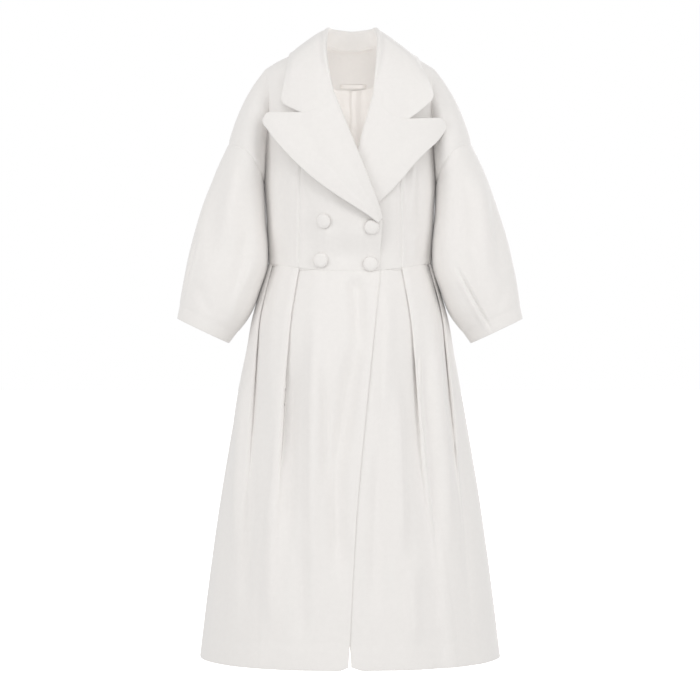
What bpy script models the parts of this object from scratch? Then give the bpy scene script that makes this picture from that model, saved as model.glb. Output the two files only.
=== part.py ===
"""Double-breasted coat: peak lapels, dropped shoulders, full sleeves, a waist seam and a pleated skirt.

Metres, +Z up. The front faces -Y and the wearer's left is at +X. The origin lies between the wearer's
shoulders at the base of the neck. The coat is hollow, as filled out by a wearer who is not there. Each
piece of cloth is a thin wall through sections taken from short tables, with a seam gap between pieces.
"""
import math
from collections import namedtuple

import bpy
import numpy as np
from mathutils import Vector
from mathutils.bvhtree import BVHTree

SHELL = 0.0018            # wool coating
LAPEL_WALL = 0.0024       # cloth, interlining and facing together
LINING = 0.0012
SEAM_GAP = 0.0004
LAYER_AIR = 0.0006        # between layers that lie on each other

WAIST_SIDE = -0.409       # height of the waist seam at the sides and back
WAIST_DIP = 0.0185        # how far the seam drops at the centre front
WAIST_HALF = 0.155
HEM = -1.152
CHEST_TOP = -0.150        # above this the body rounds over into the shoulders
ROUND_ACROSS = 2.4        # squareness of the horizontal sections
ROUND_UP = {"front_depth": 2.4, "back_depth": 3.0}

Section = namedtuple("Section", "height half_width front_depth back_depth")
TORSO = [
    Section(-0.430, 0.1550, 0.1075, 0.1000),
    Section(-0.405, 0.1550, 0.1075, 0.1000),
    Section(-0.340, 0.1580, 0.1170, 0.1040),
    Section(-0.258, 0.1625, 0.1260, 0.1110),
    Section(-0.180, 0.1655, 0.1200, 0.1170),
    Section(-0.100, 0.1680, 0.1100, 0.1150),
    Section(0.030, 0.1700, 0.1000, 0.1100),
]

Shoulder = namedtuple("Shoulder", "out height")
SHOULDER = [
    Shoulder(0.000, 0.0200),
    Shoulder(0.064, 0.0130),
    Shoulder(0.090, -0.0010),
    Shoulder(0.111, -0.0125),
    Shoulder(0.136, -0.0245),
    Shoulder(0.160, -0.0395),
]
NECK_HALF = 0.064
BACK_NECK_HEIGHT = 0.003
UNDERARM = -0.258
SHOULDER_END = 0.160

Crease = namedtuple("Crease", "height out")
ARM_CREASE = [
    Crease(-0.2580, 0.1625),
    Crease(-0.2000, 0.1580),
    Crease(-0.1400, 0.1530),
    Crease(-0.0900, 0.1520),
    Crease(-0.0395, 0.1600),
]

# Inner edges of the fronts by mesh row: front edge up to the break, then the roll line and the neck.
SIDE_ROWS = 7
ARM_ROWS = 10
ROWS = SIDE_ROWS + ARM_ROWS
BREAK_ROW = 4
GORGE_ROW = 13
Edge = namedtuple("Edge", "row x height")
FRONT_EDGE = {
    "right": [
        Edge(0, 0.0555, -0.4250),
        Edge(BREAK_ROW, 0.0617, -0.3390),
        Edge(GORGE_ROW, -0.0340, -0.0960),
        Edge(15, -0.0575, -0.0400),
        Edge(ROWS, -NECK_HALF, 0.0130),
    ],
    "left": [
        Edge(0, -0.0400, -0.4250),
        Edge(BREAK_ROW, -0.0220, -0.3450),
        Edge(GORGE_ROW, 0.0454, -0.1015),
        Edge(15, 0.0625, -0.0420),
        Edge(ROWS, NECK_HALF, 0.0130),
    ],
}
PRINCESS_SEAM = [
    Edge(0, 0.0965, -0.4190),
    Edge(SIDE_ROWS, 0.0925, -0.2580),
    Edge(12, 0.0890, -0.1350),
    Edge(ROWS, 0.1080, -0.0110),
]
CENTRE_COLUMNS = 6
SIDE_COLUMNS = 5
SIDE_CROWDING = 1.5       # mesh columns crowd towards the side seam
WAIST_ROWS = 6            # mesh rows over which the waist's curve fades out
SHOULDER_ROWS = 4
NECK_COLUMNS = 4
SHOULDER_COLUMNS = 5
BACK_CROWDING = 1.4       # mesh rows and columns of the back crowd towards the shoulders
DROP_COLUMNS = 4
DROP_BULGE = 0.010        # fullness of the shoulder drop between crease and armhole seam

LAP_RISE = 0.0105         # the right front rides over the left lapel
LAP_RISE_WAIST = 0.0030
LAP_SINK = 0.0020         # the left front lies under
LAP_ACROSS = {"right": (-0.090, -0.020), "left": (0.050, 0.090)}
LAP_FADE = {"right": (-0.210, -0.130), "left": (-0.200, -0.120)}
LAP_LIFT = (-0.405, -0.350)

Ring = namedtuple("Ring", "along outer_x outer_z inner_x inner_z half_depth centre_y bow")
SLEEVE = [
    Ring(0.00, 0.2310, -0.183, 0.1625, -0.258, 0.0780, 0.000, 0.016),
    Ring(0.20, 0.2620, -0.252, 0.1660, -0.318, 0.0800, 0.000, 0.010),
    Ring(0.45, 0.2930, -0.345, 0.1680, -0.390, 0.0810, -0.004, 0.004),
    Ring(0.70, 0.3130, -0.428, 0.1715, -0.455, 0.0780, -0.008, 0.000),
    Ring(0.87, 0.3210, -0.478, 0.1920, -0.512, 0.0680, -0.012, 0.000),
    Ring(1.00, 0.3260, -0.513, 0.2290, -0.559, 0.0530, -0.016, 0.000),
]
SLEEVE_ROWS = 10

Flare = namedtuple("Flare", "share half_width front_depth back_depth")
SKIRT = [
    Flare(0.000, 0.1550, 0.1075, 0.1000),
    Flare(0.069, 0.1710, 0.1210, 0.1150),
    Flare(0.143, 0.1865, 0.1330, 0.1300),
    Flare(0.209, 0.1950, 0.1420, 0.1390),
    Flare(0.401, 0.2210, 0.1590, 0.1580),
    Flare(0.594, 0.2450, 0.1740, 0.1750),
    Flare(0.823, 0.2690, 0.1900, 0.1920),
    Flare(1.000, 0.2850, 0.2010, 0.2030),
]
SKIRT_ROWS = (0.0, 0.04, 0.1, 0.17, 0.25, 0.34, 0.44, 0.55, 0.67, 0.79, 0.9, 1.0)

# Knife pleats whose folds face the centre; angles are from the centre line round towards the side seam.
Pleat = namedtuple("Pleat", "waist_angle middle_angle hem_angle lap depth")
PLEATS = {
    "right": [Pleat(73, 56, 47, 8, 0.012), Pleat(38, 35, 33, 9, 0.014)],
    "left": [Pleat(77, 62, 57, 8, 0.012), Pleat(39, 37, 41, 9, 0.018)],
    "back": [Pleat(74, 60, 54, 8, 0.012), Pleat(38, 36, 36, 9, 0.015)],
}
Turn = namedtuple("Turn", "lap shut_angle shut_layer open_angle open_drop")
PLEAT_FORM = [
    Turn(0.0, 1.2, 0.00, 2.5, 0.00),
    Turn(0.0, 0.0, 0.22, 0.0, 0.08),
    Turn(0.0, 0.0, 0.66, -1.2, 0.30),
    Turn(0.0, 1.2, 0.88, -2.1, 0.55),
    Turn(1.0, 0.0, 0.88, -3.0, 0.80),
    Turn(1.0, 0.8, 0.94, -4.0, 0.95),
    Turn(1.0, 0.0, 1.00, -5.2, 1.00),
    Turn(0.5, 0.0, 1.00, -6.6, 0.97),
    Turn(0.0, -1.5, 1.00, -8.6, 0.85),
]
PLEAT_STACK = 2 * SHELL + 0.0011
Opening = namedtuple("Opening", "share opened depth")
PLEAT_OPENING = [
    Opening(0.00, 0.00, 0.40),
    Opening(0.12, 0.15, 0.80),
    Opening(0.30, 0.60, 1.00),
    Opening(0.50, 0.90, 0.90),
    Opening(0.75, 1.00, 0.55),
    Opening(1.00, 1.00, 0.30),
]
PLEAT_LEVELS = (0.0, 0.5, 1.0)
SIDE_ANGLE = 90.0
PANEL_RETURN = 16         # degrees over which a panel rises back from under a pleat
CENTRE_STEPS = 8          # mesh steps from the last pleat to the centre, and between the others
PANEL_STEPS = 4
Hanging = namedtuple("Hanging", "share x")
SKIRT_EDGE = {
    "right": [Hanging(0.0, 0.0555), Hanging(0.25, 0.0365), Hanging(0.6, 0.0125), Hanging(1.0, -0.0050)],
    "left": [Hanging(0.0, -0.0400), Hanging(0.4, -0.0270), Hanging(0.75, -0.0080), Hanging(1.0, 0.0055)],
}
CORNER_RISE = 0.009       # rounded lower front corners
CORNER_WIDTH = 5.0        # degrees
CORNER_START = 0.9        # share of the skirt's length
Wave = namedtuple("Wave", "angle width depth")
FOLD_PHASE = 0.25         # the soft folds deepen from the waist and ease off towards the hem
FOLD_GROWTH = 0.65
SOFT_FOLDS = {
    "right": [Wave(3, 9, 0.007), Wave(20, 8, -0.004), Wave(62, 7, 0.004)],
    "left": [Wave(-3, 9, 0.007), Wave(13, 6, 0.004), Wave(26, 8, -0.005), Wave(70, 7, 0.004)],
    "back": [Wave(0, 10, 0.008), Wave(18, 8, -0.006), Wave(68, 8, 0.005)],
}

# Lapels by row from the gorge to the break: outer edge and how far it stands off the chest.
ROLL_RADIUS = {"right": 0.0025, "left": 0.0012}
LAPEL_HUMP = {"right": 0.003, "left": 0.001}
FOLD_TURNS = (0, 60, 105, 150)
FALL_STEPS = (0.14, 0.28, 0.42, 0.56, 0.70, 0.85, 1.0)
NOTCH_STEP = 3            # the fall step at which collar and lapel part
LAPEL_SPREAD = 0.050      # the lapel bridges the hollow at the arm crease
LapelRow = namedtuple("LapelRow", "row x height stand_off")
LAPEL_EDGE = {
    "right": [
        LapelRow(GORGE_ROW, -0.1570, -0.1390, 0.010),
        LapelRow(12.3, -0.1590, -0.1480, 0.012),
        LapelRow(11.5, -0.1515, -0.1640, 0.014),
        LapelRow(10, -0.1185, -0.2060, 0.016),
        LapelRow(8, -0.0634, -0.2590, 0.016),
        LapelRow(6, -0.0060, -0.2990, 0.013),
        LapelRow(4.6, 0.0420, -0.3290, 0.010),
    ],
    "left": [
        LapelRow(GORGE_ROW, 0.1700, -0.1490, 0.007),
        LapelRow(12.3, 0.1760, -0.1590, 0.007),
        LapelRow(11.5, 0.1680, -0.1760, 0.007),
        LapelRow(10, 0.1280, -0.2170, 0.006),
        LapelRow(8, 0.0830, -0.2700, 0.006),
        LapelRow(6, 0.0380, -0.3100, 0.006),
        LapelRow(4.6, 0.0000, -0.3330, 0.006),
    ],
}
LAPEL_ROWS = (GORGE_ROW, 12.3, 11.5, 10.5, 9.5, 8.5, 7.5, 6.5, 5.5, 4.8)
GORGE_SAG = {"right": 0.030, "left": 0.043}

# Collar stations from the right gorge round the back to the left gorge. The lean tips the roll forwards.
Station = namedtuple("Station", "neck roll edge sag bulge lean")
COLLAR = [
    Station((-0.0535, -0.0822, -0.0450), (-0.0455, -0.0900, -0.0330), (-0.1215, -0.0830, -0.0720),
            sag=0.010, bulge=0.006, lean=1.2),
    Station((-0.0610, -0.0485, -0.0040), (-0.0480, -0.0480, 0.0130), (-0.1160, -0.0570, -0.0310),
            sag=0.000, bulge=0.008, lean=0.4),
    Station((-0.0620, 0.0040, 0.0148), (-0.0460, 0.0040, 0.0350), (-0.1120, 0.0000, -0.0010),
            sag=0.000, bulge=0.006, lean=0.0),
    Station((-0.0460, 0.0380, 0.0110), (-0.0370, 0.0370, 0.0410), (-0.1040, 0.0600, -0.0180),
            sag=0.000, bulge=0.008, lean=0.0),
    Station((-0.0220, 0.0520, 0.0065), (-0.0180, 0.0560, 0.0435), (-0.0620, 0.1040, -0.0400),
            sag=0.000, bulge=0.010, lean=0.0),
    Station((0.0000, 0.0555, 0.0050), (0.0040, 0.0620, 0.0440), (0.0000, 0.1180, -0.0480),
            sag=0.000, bulge=0.012, lean=0.0),
    Station((0.0220, 0.0520, 0.0065), (0.0260, 0.0560, 0.0435), (0.0660, 0.1040, -0.0400),
            sag=0.000, bulge=0.010, lean=0.0),
    Station((0.0460, 0.0380, 0.0110), (0.0445, 0.0370, 0.0410), (0.1100, 0.0600, -0.0200),
            sag=0.000, bulge=0.008, lean=0.0),
    Station((0.0622, 0.0040, 0.0148), (0.0530, 0.0040, 0.0345), (0.1250, 0.0000, -0.0090),
            sag=0.000, bulge=0.006, lean=0.0),
    Station((0.0640, -0.0485, -0.0040), (0.0555, -0.0480, 0.0130), (0.1360, -0.0520, -0.0380),
            sag=0.000, bulge=0.008, lean=0.4),
    Station((0.0590, -0.0815, -0.0460), (0.0520, -0.0900, -0.0350), (0.1470, -0.0770, -0.0720),
            sag=0.016, bulge=0.006, lean=1.2),
]
COLLAR_TIP = {"right": (-0.1290, -0.0920, -0.1115), "left": (0.1560, -0.0920, -0.1040)}
COLLAR_FOLD = 0.0045
COLLAR_END_TURNS = (0, 20, 40, 60, 105, 150)
COLLAR_CLEAR = LAPEL_WALL + 0.0022
STAND_CLEAR = LAPEL_WALL + LAYER_AIR
STAND_STEPS = (0.0, 0.45, 0.9)
COLLAR_TURNS = (30, 90, 150)
STAND_ROWS = len(STAND_STEPS)
FALL_ROW = len(COLLAR_END_TURNS)
COLLAR_BETWEEN = 2        # mesh columns for each step between stations

# Points well inside the cloth, from which its outer faces turn away.
BODY_CORE = np.array([0.0, 0.0, -0.200])
DROP_CORE = np.array([0.185, 0.0, -0.190])
SKIRT_CORE = np.array([0.0, 0.0, -0.800])
BEHIND = np.array([0.0, 9.0, 0.0])

PROBE = 0.001             # step for slopes of the back
INSIDE_AIR = 0.0014
FACING_DEPTH = SHELL + INSIDE_AIR + LINING
FACING_HALF = 0.084
FACING_DROP = -0.066      # lower edge at the centre back
FACING_RISE = 0.040       # how much higher that edge is at the shoulders
FACING_ROWS = 7
FACING_COLUMNS = (-1.0, -0.8, -0.55, -0.3, -0.12, -0.01, 0.04, 0.12, 0.2, 0.29, 0.5, 0.75, 1.0)
TOP_CLEAR = 0.004
LINING_CLEAR = 0.030
LINING_HALF = 0.118
LINING_ROWS = 8
LINING_PLEAT = 0.0030
PLEAT_RISE = (-0.001, 0.004)
PLEAT_FALL = (0.010, 0.024)
LOOP = {"left": -0.018, "right": 0.031, "height": -0.0615, "width": 0.007, "stand": 0.003}
LOOP_COLUMNS = 6
LOOP_ROWS = 2

BUTTON_RADIUS = 0.0137
BUTTON_HEIGHT = 0.0062
SHANK_RADIUS = 0.0045
SHANK_HEIGHT = 0.0015
BUTTON_SEGMENTS = 16
Dome = namedtuple("Dome", "radius height")
BUTTON_DOME = [           # shares of the button's radius and height
    Dome(0.90, 0.00),
    Dome(1.00, 0.19),
    Dome(0.93, 0.55),
    Dome(0.70, 0.83),
    Dome(0.36, 0.97),
]
BUTTON_PROBE = 0.008      # step for the slope of the chest under a button
SEAT_SHARES = (0.0, 0.5, 1.0)
SEAT_ABOVE = 0.050
Button = namedtuple("Button", "name x height")
BUTTONS = [
    Button("button_upper_right", -0.0480, -0.3355),
    Button("button_upper_left", 0.0395, -0.3465),
    Button("button_lower_right", -0.0535, -0.4070),
    Button("button_lower_left", 0.0377, -0.4140),
]

IVORY = (0.82, 0.79, 0.76)
IVORY_LINING = (0.78, 0.74, 0.71)


def unit(vectors):
    return vectors / np.maximum(np.linalg.norm(vectors, axis=-1, keepdims=True), 1e-12)


def ease(start, end, at):
    """0 before start, 1 after end, smooth between."""
    t = np.clip((at - start) / (end - start), 0, 1)
    return t * t * (3 - 2 * t)


def along(table, key, column, at):
    """Smooth value of one column of a table where its key column has the given values."""
    rows = sorted(table, key=lambda row: getattr(row, key))
    knots = np.array([getattr(row, key) for row in rows], float)
    values = np.array([getattr(row, column) for row in rows], float)
    slopes = np.gradient(values, knots)
    at = np.clip(at, knots[0], knots[-1])
    left = np.clip(np.searchsorted(knots, at, side="right") - 1, 0, len(knots) - 2)
    span = knots[left + 1] - knots[left]
    t = (at - knots[left]) / span
    rise = values[left] * (1 + 2 * t) * (1 - t) ** 2 + values[left + 1] * t * t * (3 - 2 * t)
    return rise + span * t * (1 - t) * (slopes[left] * (1 - t) - slopes[left + 1] * t)


def straight(table, key, column, at):
    """Value of a column on straight lines between the rows of a table."""
    rows = sorted(table, key=lambda row: getattr(row, key))
    return np.interp(at, [getattr(row, key) for row in rows], [getattr(row, column) for row in rows])


def shoulder_height(x):
    return along(SHOULDER, "out", "height", np.abs(x))


def neckline_height(x):
    return BACK_NECK_HEIGHT + (shoulder_height(NECK_HALF) - BACK_NECK_HEIGHT) * (x / NECK_HALF) ** 2


def waist_height(x):
    return WAIST_SIDE - WAIST_DIP * (1 - (np.clip(np.abs(x), 0, WAIST_HALF) / WAIST_HALF) ** 2)


def depth(face, x, z, spread=0.0):
    """How far the cloth stands before or behind the plane of the side and shoulder seams."""
    half_width = along(TORSO, "height", "half_width", z) + spread
    across = np.clip(np.abs(x) / half_width, 0, 1)
    up = np.clip((z - CHEST_TOP) / (shoulder_height(x) - CHEST_TOP), 0, 1)
    reach = along(TORSO, "height", face, z)
    return reach * np.sqrt(1 - across ** ROUND_ACROSS) * np.sqrt(1 - up ** ROUND_UP[face])


def lap(side, x, z):
    """How far a front lies above or below the plain chest where the fronts overlap."""
    if side == "right":
        rise = LAP_RISE_WAIST + (LAP_RISE - LAP_RISE_WAIST) * ease(*LAP_LIFT, z)
        return rise * ease(*LAP_ACROSS[side], x) * (1 - ease(*LAP_FADE[side], z))
    return -LAP_SINK * (1 - ease(*LAP_ACROSS[side], x)) * (1 - ease(*LAP_FADE[side], z))


def chest(side, x, z):
    return np.stack([x, -depth("front_depth", x, z) - lap(side, x, z), z], -1)


def grid_normals(grid, away_from):
    """Unit normals facing away from a point, from averaged unit edges, so tight folds are not swamped."""

    def mean_edge(axis):
        edges = unit(np.diff(grid, axis=axis))
        first = np.take(edges, [0], axis)
        last = np.take(edges, [-1], axis)
        return np.concatenate([first, edges], axis) + np.concatenate([edges, last], axis)

    normals = unit(np.cross(mean_edge(0), mean_edge(1)))
    facing = np.sum(normals * (grid - np.array(away_from)))
    return normals if facing > 0 else -normals


def level_normals(normals):
    """Seam normals shared by the front and the back, which meet in the plane y = 0."""
    flat = normals.copy()
    flat[..., 1] = 0
    return unit(flat)


def inset(grid, first_row=0.0, last_row=0.0, first_column=0.0, last_column=0.0):
    """The grid with its edges drawn in along the cloth."""
    out = grid.copy()
    out[0] += first_row * unit(grid[1] - grid[0])
    out[-1] += last_row * unit(grid[-2] - grid[-1])
    out[:, 0] += first_column * unit(grid[:, 1] - grid[:, 0])
    out[:, -1] += last_column * unit(grid[:, -2] - grid[:, -1])
    return out


def make_material(name, colour, roughness):
    material = bpy.data.materials.new(name)
    material.use_nodes = True
    shader = material.node_tree.nodes["Principled BSDF"]
    shader.inputs["Base Color"].default_value = (*colour, 1)
    shader.inputs["Roughness"].default_value = roughness
    shader.inputs["Metallic"].default_value = 0
    return material


def add_object(name, points, faces, colour=IVORY, roughness=0.9):
    mesh = bpy.data.meshes.new(name)
    mesh.from_pydata([tuple(map(float, point)) for point in points], [], faces)
    mesh.validate()
    mesh.update()
    mesh.materials.append(make_material(name + "_cloth", colour, roughness))
    thing = bpy.data.objects.new(name, mesh)
    bpy.context.collection.objects.link(thing)


def join_sheets(sheets, closed=False):
    """Points, normals and outward faces of sheets of (grid, normals) that share points where they join."""
    index = {}
    points = []
    normals = []
    faces = []
    for grid, normal in sheets:
        ids = np.empty(grid.shape[:2], int)
        for place in np.ndindex(*ids.shape):
            key = tuple(np.round(grid[place] * 1e7).astype(int))
            if key not in index:
                index[key] = len(points)
                points.append(grid[place])
                normals.append(np.zeros(3))
            ids[place] = index[key]
            normals[index[key]] = normals[index[key]] + normal[place]
        if closed:
            ids = np.concatenate([ids, ids[:, :1]], 1)
        corners = np.stack([ids[:-1, :-1], ids[:-1, 1:], ids[1:, 1:], ids[1:, :-1]], -1).reshape(-1, 4)
        edges = np.cross(grid[:-1, 1:] - grid[:-1, :-1], grid[1:, :-1] - grid[:-1, :-1])
        turn = 1 if np.sum(edges * normal[:-1, :-1]) > 0 else -1
        for corner in corners[:, ::turn].tolist():
            face = tuple(dict.fromkeys(corner))
            if len(face) > 2:
                faces.append(face)
    return np.array(points), unit(np.array(normals)), faces


def add_wall(name, sheets, thickness, closed=False, **look):
    """A closed wall: sheets, the same sheets moved in by the thickness, and the rim between them."""
    points, normals, faces = join_sheets(sheets, closed)
    count = len(points)
    edges = {(face[i - 1], face[i]) for face in faces for i in range(len(face))}
    rim = [(b, a, a + count, b + count) for a, b in sorted(edges) if (b, a) not in edges]
    inner = [tuple(corner + count for corner in face[::-1]) for face in faces]
    both = np.concatenate([points, points - thickness * normals])
    add_object(name, both, faces + inner + rim, **look)


def cloth_tree(sheets):
    points, _, faces = join_sheets(sheets)
    return BVHTree.FromPolygons([Vector(point) for point in points], faces)


def keep_clear(tree, points, clearance, face=1):
    """Points moved off the outer (1) or inner (-1) side of the cloth where they come too near it."""
    moved = np.array(points)
    for place in np.ndindex(*moved.shape[:-1]):
        spot, normal, _, _ = tree.find_nearest(Vector(moved[place]))
        if face * (Vector(moved[place]) - spot).dot(normal) < clearance:
            moved[place] = spot + face * clearance * normal
    return moved


def side_rail():
    """Side seam from waist to underarm, then the crease where the shoulder drop leaves the torso."""
    low = np.linspace(WAIST_SIDE, UNDERARM, SIDE_ROWS + 1)[:-1]
    top = shoulder_height(SHOULDER_END)
    turn = np.linspace(0, math.pi, ARM_ROWS + 1)
    high = (UNDERARM + top) / 2 - (top - UNDERARM) / 2 * np.cos(turn)
    low_x = along(TORSO, "height", "half_width", low)
    high_x = along(ARM_CREASE, "height", "out", high)
    return np.concatenate([low_x, high_x]), np.concatenate([low, high])


def sleeve_ring(sign, share, turns):
    """Points round the sleeve: turn 0 at the outer edge, a quarter turn at the front."""
    share = np.asarray(share, float)[:, None]
    part = {column: along(SLEEVE, "along", column, share) for column in Ring._fields[1:]}
    half_x = (part["outer_x"] - part["inner_x"]) / 2
    half_z = (part["outer_z"] - part["inner_z"]) / 2
    length = np.hypot(half_x, half_z)
    lift = part["bow"] * np.sin(turns) ** 2
    x = (part["outer_x"] + part["inner_x"]) / 2 + half_x * np.cos(turns) - lift * half_z / length
    z = (part["outer_z"] + part["inner_z"]) / 2 + half_z * np.cos(turns) + lift * half_x / length
    y = part["centre_y"] - part["half_depth"] * np.sin(turns)
    return np.stack([sign * x, y, z], -1)


def front_grid(side, sign):
    """One front from its inner edge to the side seam and arm crease, a row for each height."""
    rows = np.arange(ROWS + 1)
    inner_x = straight(FRONT_EDGE[side], "row", "x", rows)
    inner_z = straight(FRONT_EDGE[side], "row", "height", rows)
    seam_x = sign * along(PRINCESS_SEAM, "row", "x", rows)
    seam_z = along(PRINCESS_SEAM, "row", "height", rows)
    side_x, side_z = side_rail()
    first = np.linspace(0, 1, CENTRE_COLUMNS + 1)
    second = np.linspace(0, 1, SIDE_COLUMNS + 1)[1:]
    second = 1 - (1 - second) ** SIDE_CROWDING

    def across(inner, seam, outer):
        centre = inner[:, None] * (1 - first) + seam[:, None] * first
        return np.concatenate([centre, seam[:, None] * (1 - second) + outer[:, None] * second], 1)

    x = across(inner_x, seam_x, sign * side_x)
    z = across(inner_z, seam_z, side_z)
    near_waist = np.clip(1 - rows / WAIST_ROWS, 0, 1)[:, None]
    near_shoulder = np.clip(1 - (ROWS - rows) / SHOULDER_ROWS, 0, 1)[:, None]
    z = z + near_waist * (waist_height(x[0]) - z[0]) + near_shoulder * (shoulder_height(x[-1]) - z[-1])
    return chest(side, x, z)


def shoulder_drop(sign, face_sign, crease):
    """Cloth of the front or back beyond the arm crease, out to the dropped armhole seam."""
    turns = np.linspace(math.pi, 0, ARM_ROWS + 1)
    seam = sleeve_ring(sign, [0.0], face_sign * turns)[0]
    centre = sleeve_ring(sign, [0.0], np.array([0, math.pi])).mean(1)
    outward = unit(seam - centre)
    share = np.linspace(0, 1, DROP_COLUMNS + 1)
    fullness = DROP_BULGE * np.sin(np.linspace(0, math.pi / 2, ARM_ROWS + 1))
    swell = 4 * share * (1 - share)
    flat = crease[:, None] * (1 - share)[:, None] + seam[:, None] * share[:, None]
    return flat + (fullness[:, None] * swell)[..., None] * outward[:, None]


def drop_sheet(sign, face_sign, crease, sleeve_normals):
    grid = shoulder_drop(sign, face_sign, crease)
    normals = grid_normals(grid, DROP_CORE * (sign, 1, 1))
    order = np.arange(ARM_ROWS, -1, -1)
    normals[:, -1] = sleeve_normals[order if face_sign > 0 else -order % (2 * ARM_ROWS)]
    normals[-1] = level_normals(normals[-1])
    normals[0] = (0, 0, -1)
    return inset(grid, last_row=SEAM_GAP / 2, last_column=SEAM_GAP / 2), normals


def build_sleeve(name, sign):
    turns = np.linspace(0, 2 * math.pi, 2 * ARM_ROWS + 1)[:-1]
    grid = sleeve_ring(sign, np.linspace(0, 1, SLEEVE_ROWS + 1), turns)
    ringed = np.concatenate([grid[:, -1:], grid, grid[:, :1]], 1)
    normals = grid_normals(ringed, ringed.mean((0, 1)))[:, 1:-1]
    add_wall(name, [(inset(grid, first_row=SEAM_GAP), normals)], SHELL, closed=True)
    return normals[0]


def build_front(side, sign, sleeve_normals):
    grid = front_grid(side, sign)
    normals = grid_normals(grid, BODY_CORE)
    normals[-1] = level_normals(normals[-1])
    normals[:SIDE_ROWS, -1] = level_normals(normals[:SIDE_ROWS, -1])
    centre = slice(0, CENTRE_COLUMNS + 1)
    outer = slice(CENTRE_COLUMNS, None)
    half = SEAM_GAP / 2
    middle = inset(grid[:, centre], first_row=half, last_row=half, first_column=SEAM_GAP, last_column=half)
    add_wall("front_centre_" + side, [(middle, normals[:, centre])], SHELL)
    panel = inset(grid[:, outer], first_row=half, last_row=half, first_column=half)
    edge = panel[:, -1]
    edge[:SIDE_ROWS, 1] -= half
    panel_normals = normals[:, outer].copy()
    panel_normals[SIDE_ROWS, -1] = (0, 0, -1)
    drop, drop_normals = drop_sheet(sign, 1, edge[SIDE_ROWS:], sleeve_normals)
    drop[:, 0] = edge[SIDE_ROWS:]
    add_wall("front_side_" + side, [(panel, panel_normals), (drop, drop_normals)], SHELL)
    return [(middle, normals[:, centre]), (panel, panel_normals), (drop, drop_normals)]


def back_half():
    """Left half of the back from the centre line out, a row for each height."""
    rows = np.arange(ROWS + 1)
    side_x, side_z = side_rail()
    neck = np.linspace(0, 1, NECK_COLUMNS + 1)
    shoulder = 1 - (1 - np.linspace(0, 1, SHOULDER_COLUMNS + 1)[1:]) ** BACK_CROWDING
    top_x = np.concatenate([neck * NECK_HALF, NECK_HALF + shoulder * (SHOULDER_END - NECK_HALF)])
    share = top_x / SHOULDER_END
    x = side_x[:, None] * share
    top_z = np.where(top_x < NECK_HALF, neckline_height(top_x), shoulder_height(top_x))
    level = 1 - (1 - rows / ROWS)[:, None] ** BACK_CROWDING
    centre_z = WAIST_SIDE + level * (top_z - WAIST_SIDE)
    edge_z = side_z[:, None] + level * (top_z - top_z[-1])
    z = centre_z * (1 - share ** 2) + edge_z * share ** 2
    return x, z


def back_grid():
    x, z = back_half()
    x = np.concatenate([-x[:, :0:-1], x], 1)
    z = np.concatenate([z[:, :0:-1], z], 1)
    return np.stack([x, depth("back_depth", x, z), z], -1)


def build_back(sleeve_normals):
    grid = back_grid()
    normals = grid_normals(grid, BODY_CORE)
    shoulder = np.abs(grid[-1, :, 0]) >= NECK_HALF
    normals[-1, shoulder] = level_normals(normals[-1, shoulder])
    half = SEAM_GAP / 2
    panel = inset(grid, first_row=half, last_row=half)
    sheets = [(panel, normals)]
    for sign, column in ((-1, 0), (1, -1)):
        normals[:SIDE_ROWS, column] = level_normals(normals[:SIDE_ROWS, column])
        normals[SIDE_ROWS, column] = (0, 0, -1)
        panel[:SIDE_ROWS, column, 1] += half
        crease = panel[SIDE_ROWS:, column]
        drop, drop_normals = drop_sheet(sign, -1, crease, sleeve_normals[sign])
        drop[:, 0] = crease
        sheets.append((drop, drop_normals))
    add_wall("back_bodice", sheets, SHELL)
    return sheets


def pleat_path(pleat, share):
    """Angles and depths through one pleat: folded flat at the waist, opening to a soft wave lower down."""
    opened = along(PLEAT_OPENING, "share", "opened", share)
    fullness = along(PLEAT_OPENING, "share", "depth", share) * pleat.depth
    at = np.interp(share, PLEAT_LEVELS, [pleat.waist_angle, pleat.middle_angle, pleat.hem_angle])
    angles = []
    depths = []
    for turn in PLEAT_FORM:
        shut_angle = turn.lap * pleat.lap + turn.shut_angle
        angles.append(at + (1 - opened) * shut_angle + opened * turn.open_angle)
        depths.append((1 - opened) * turn.shut_layer * PLEAT_STACK + opened * turn.open_drop * fullness)
    return angles, depths


def panel_path(start, stop, steps, trail):
    """Angles and depths of the flat cloth from one pleat on to the next, without the end points."""
    angles = start + (stop - start) * np.arange(1, steps) / steps
    return angles.tolist(), (trail * (1 - ease(0, PANEL_RETURN, start - angles))).tolist()


def skirt_path(key, share, end):
    """Cloth from the side seam to a centre edge at one height: angles and how deep it lies."""
    angles = [SIDE_ANGLE]
    depths = [0.0]
    for pleat in PLEATS[key]:
        pleat_angles, pleat_depths = pleat_path(pleat, share)
        panel_angles, panel_depths = panel_path(angles[-1], pleat_angles[0], PANEL_STEPS, depths[-1])
        angles += panel_angles + pleat_angles
        depths += panel_depths + pleat_depths
    panel_angles, panel_depths = panel_path(angles[-1], end, CENTRE_STEPS, depths[-1])
    angles = np.array(angles + panel_angles + [end])
    depths = np.array(depths + panel_depths + [0.0])
    swing = share * math.sin(math.pi * (FOLD_PHASE + FOLD_GROWTH * share))
    for wave in SOFT_FOLDS[key]:
        depths += swing * wave.depth * np.exp(-((angles - wave.angle) / wave.width) ** 2)
    return angles, depths


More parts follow.
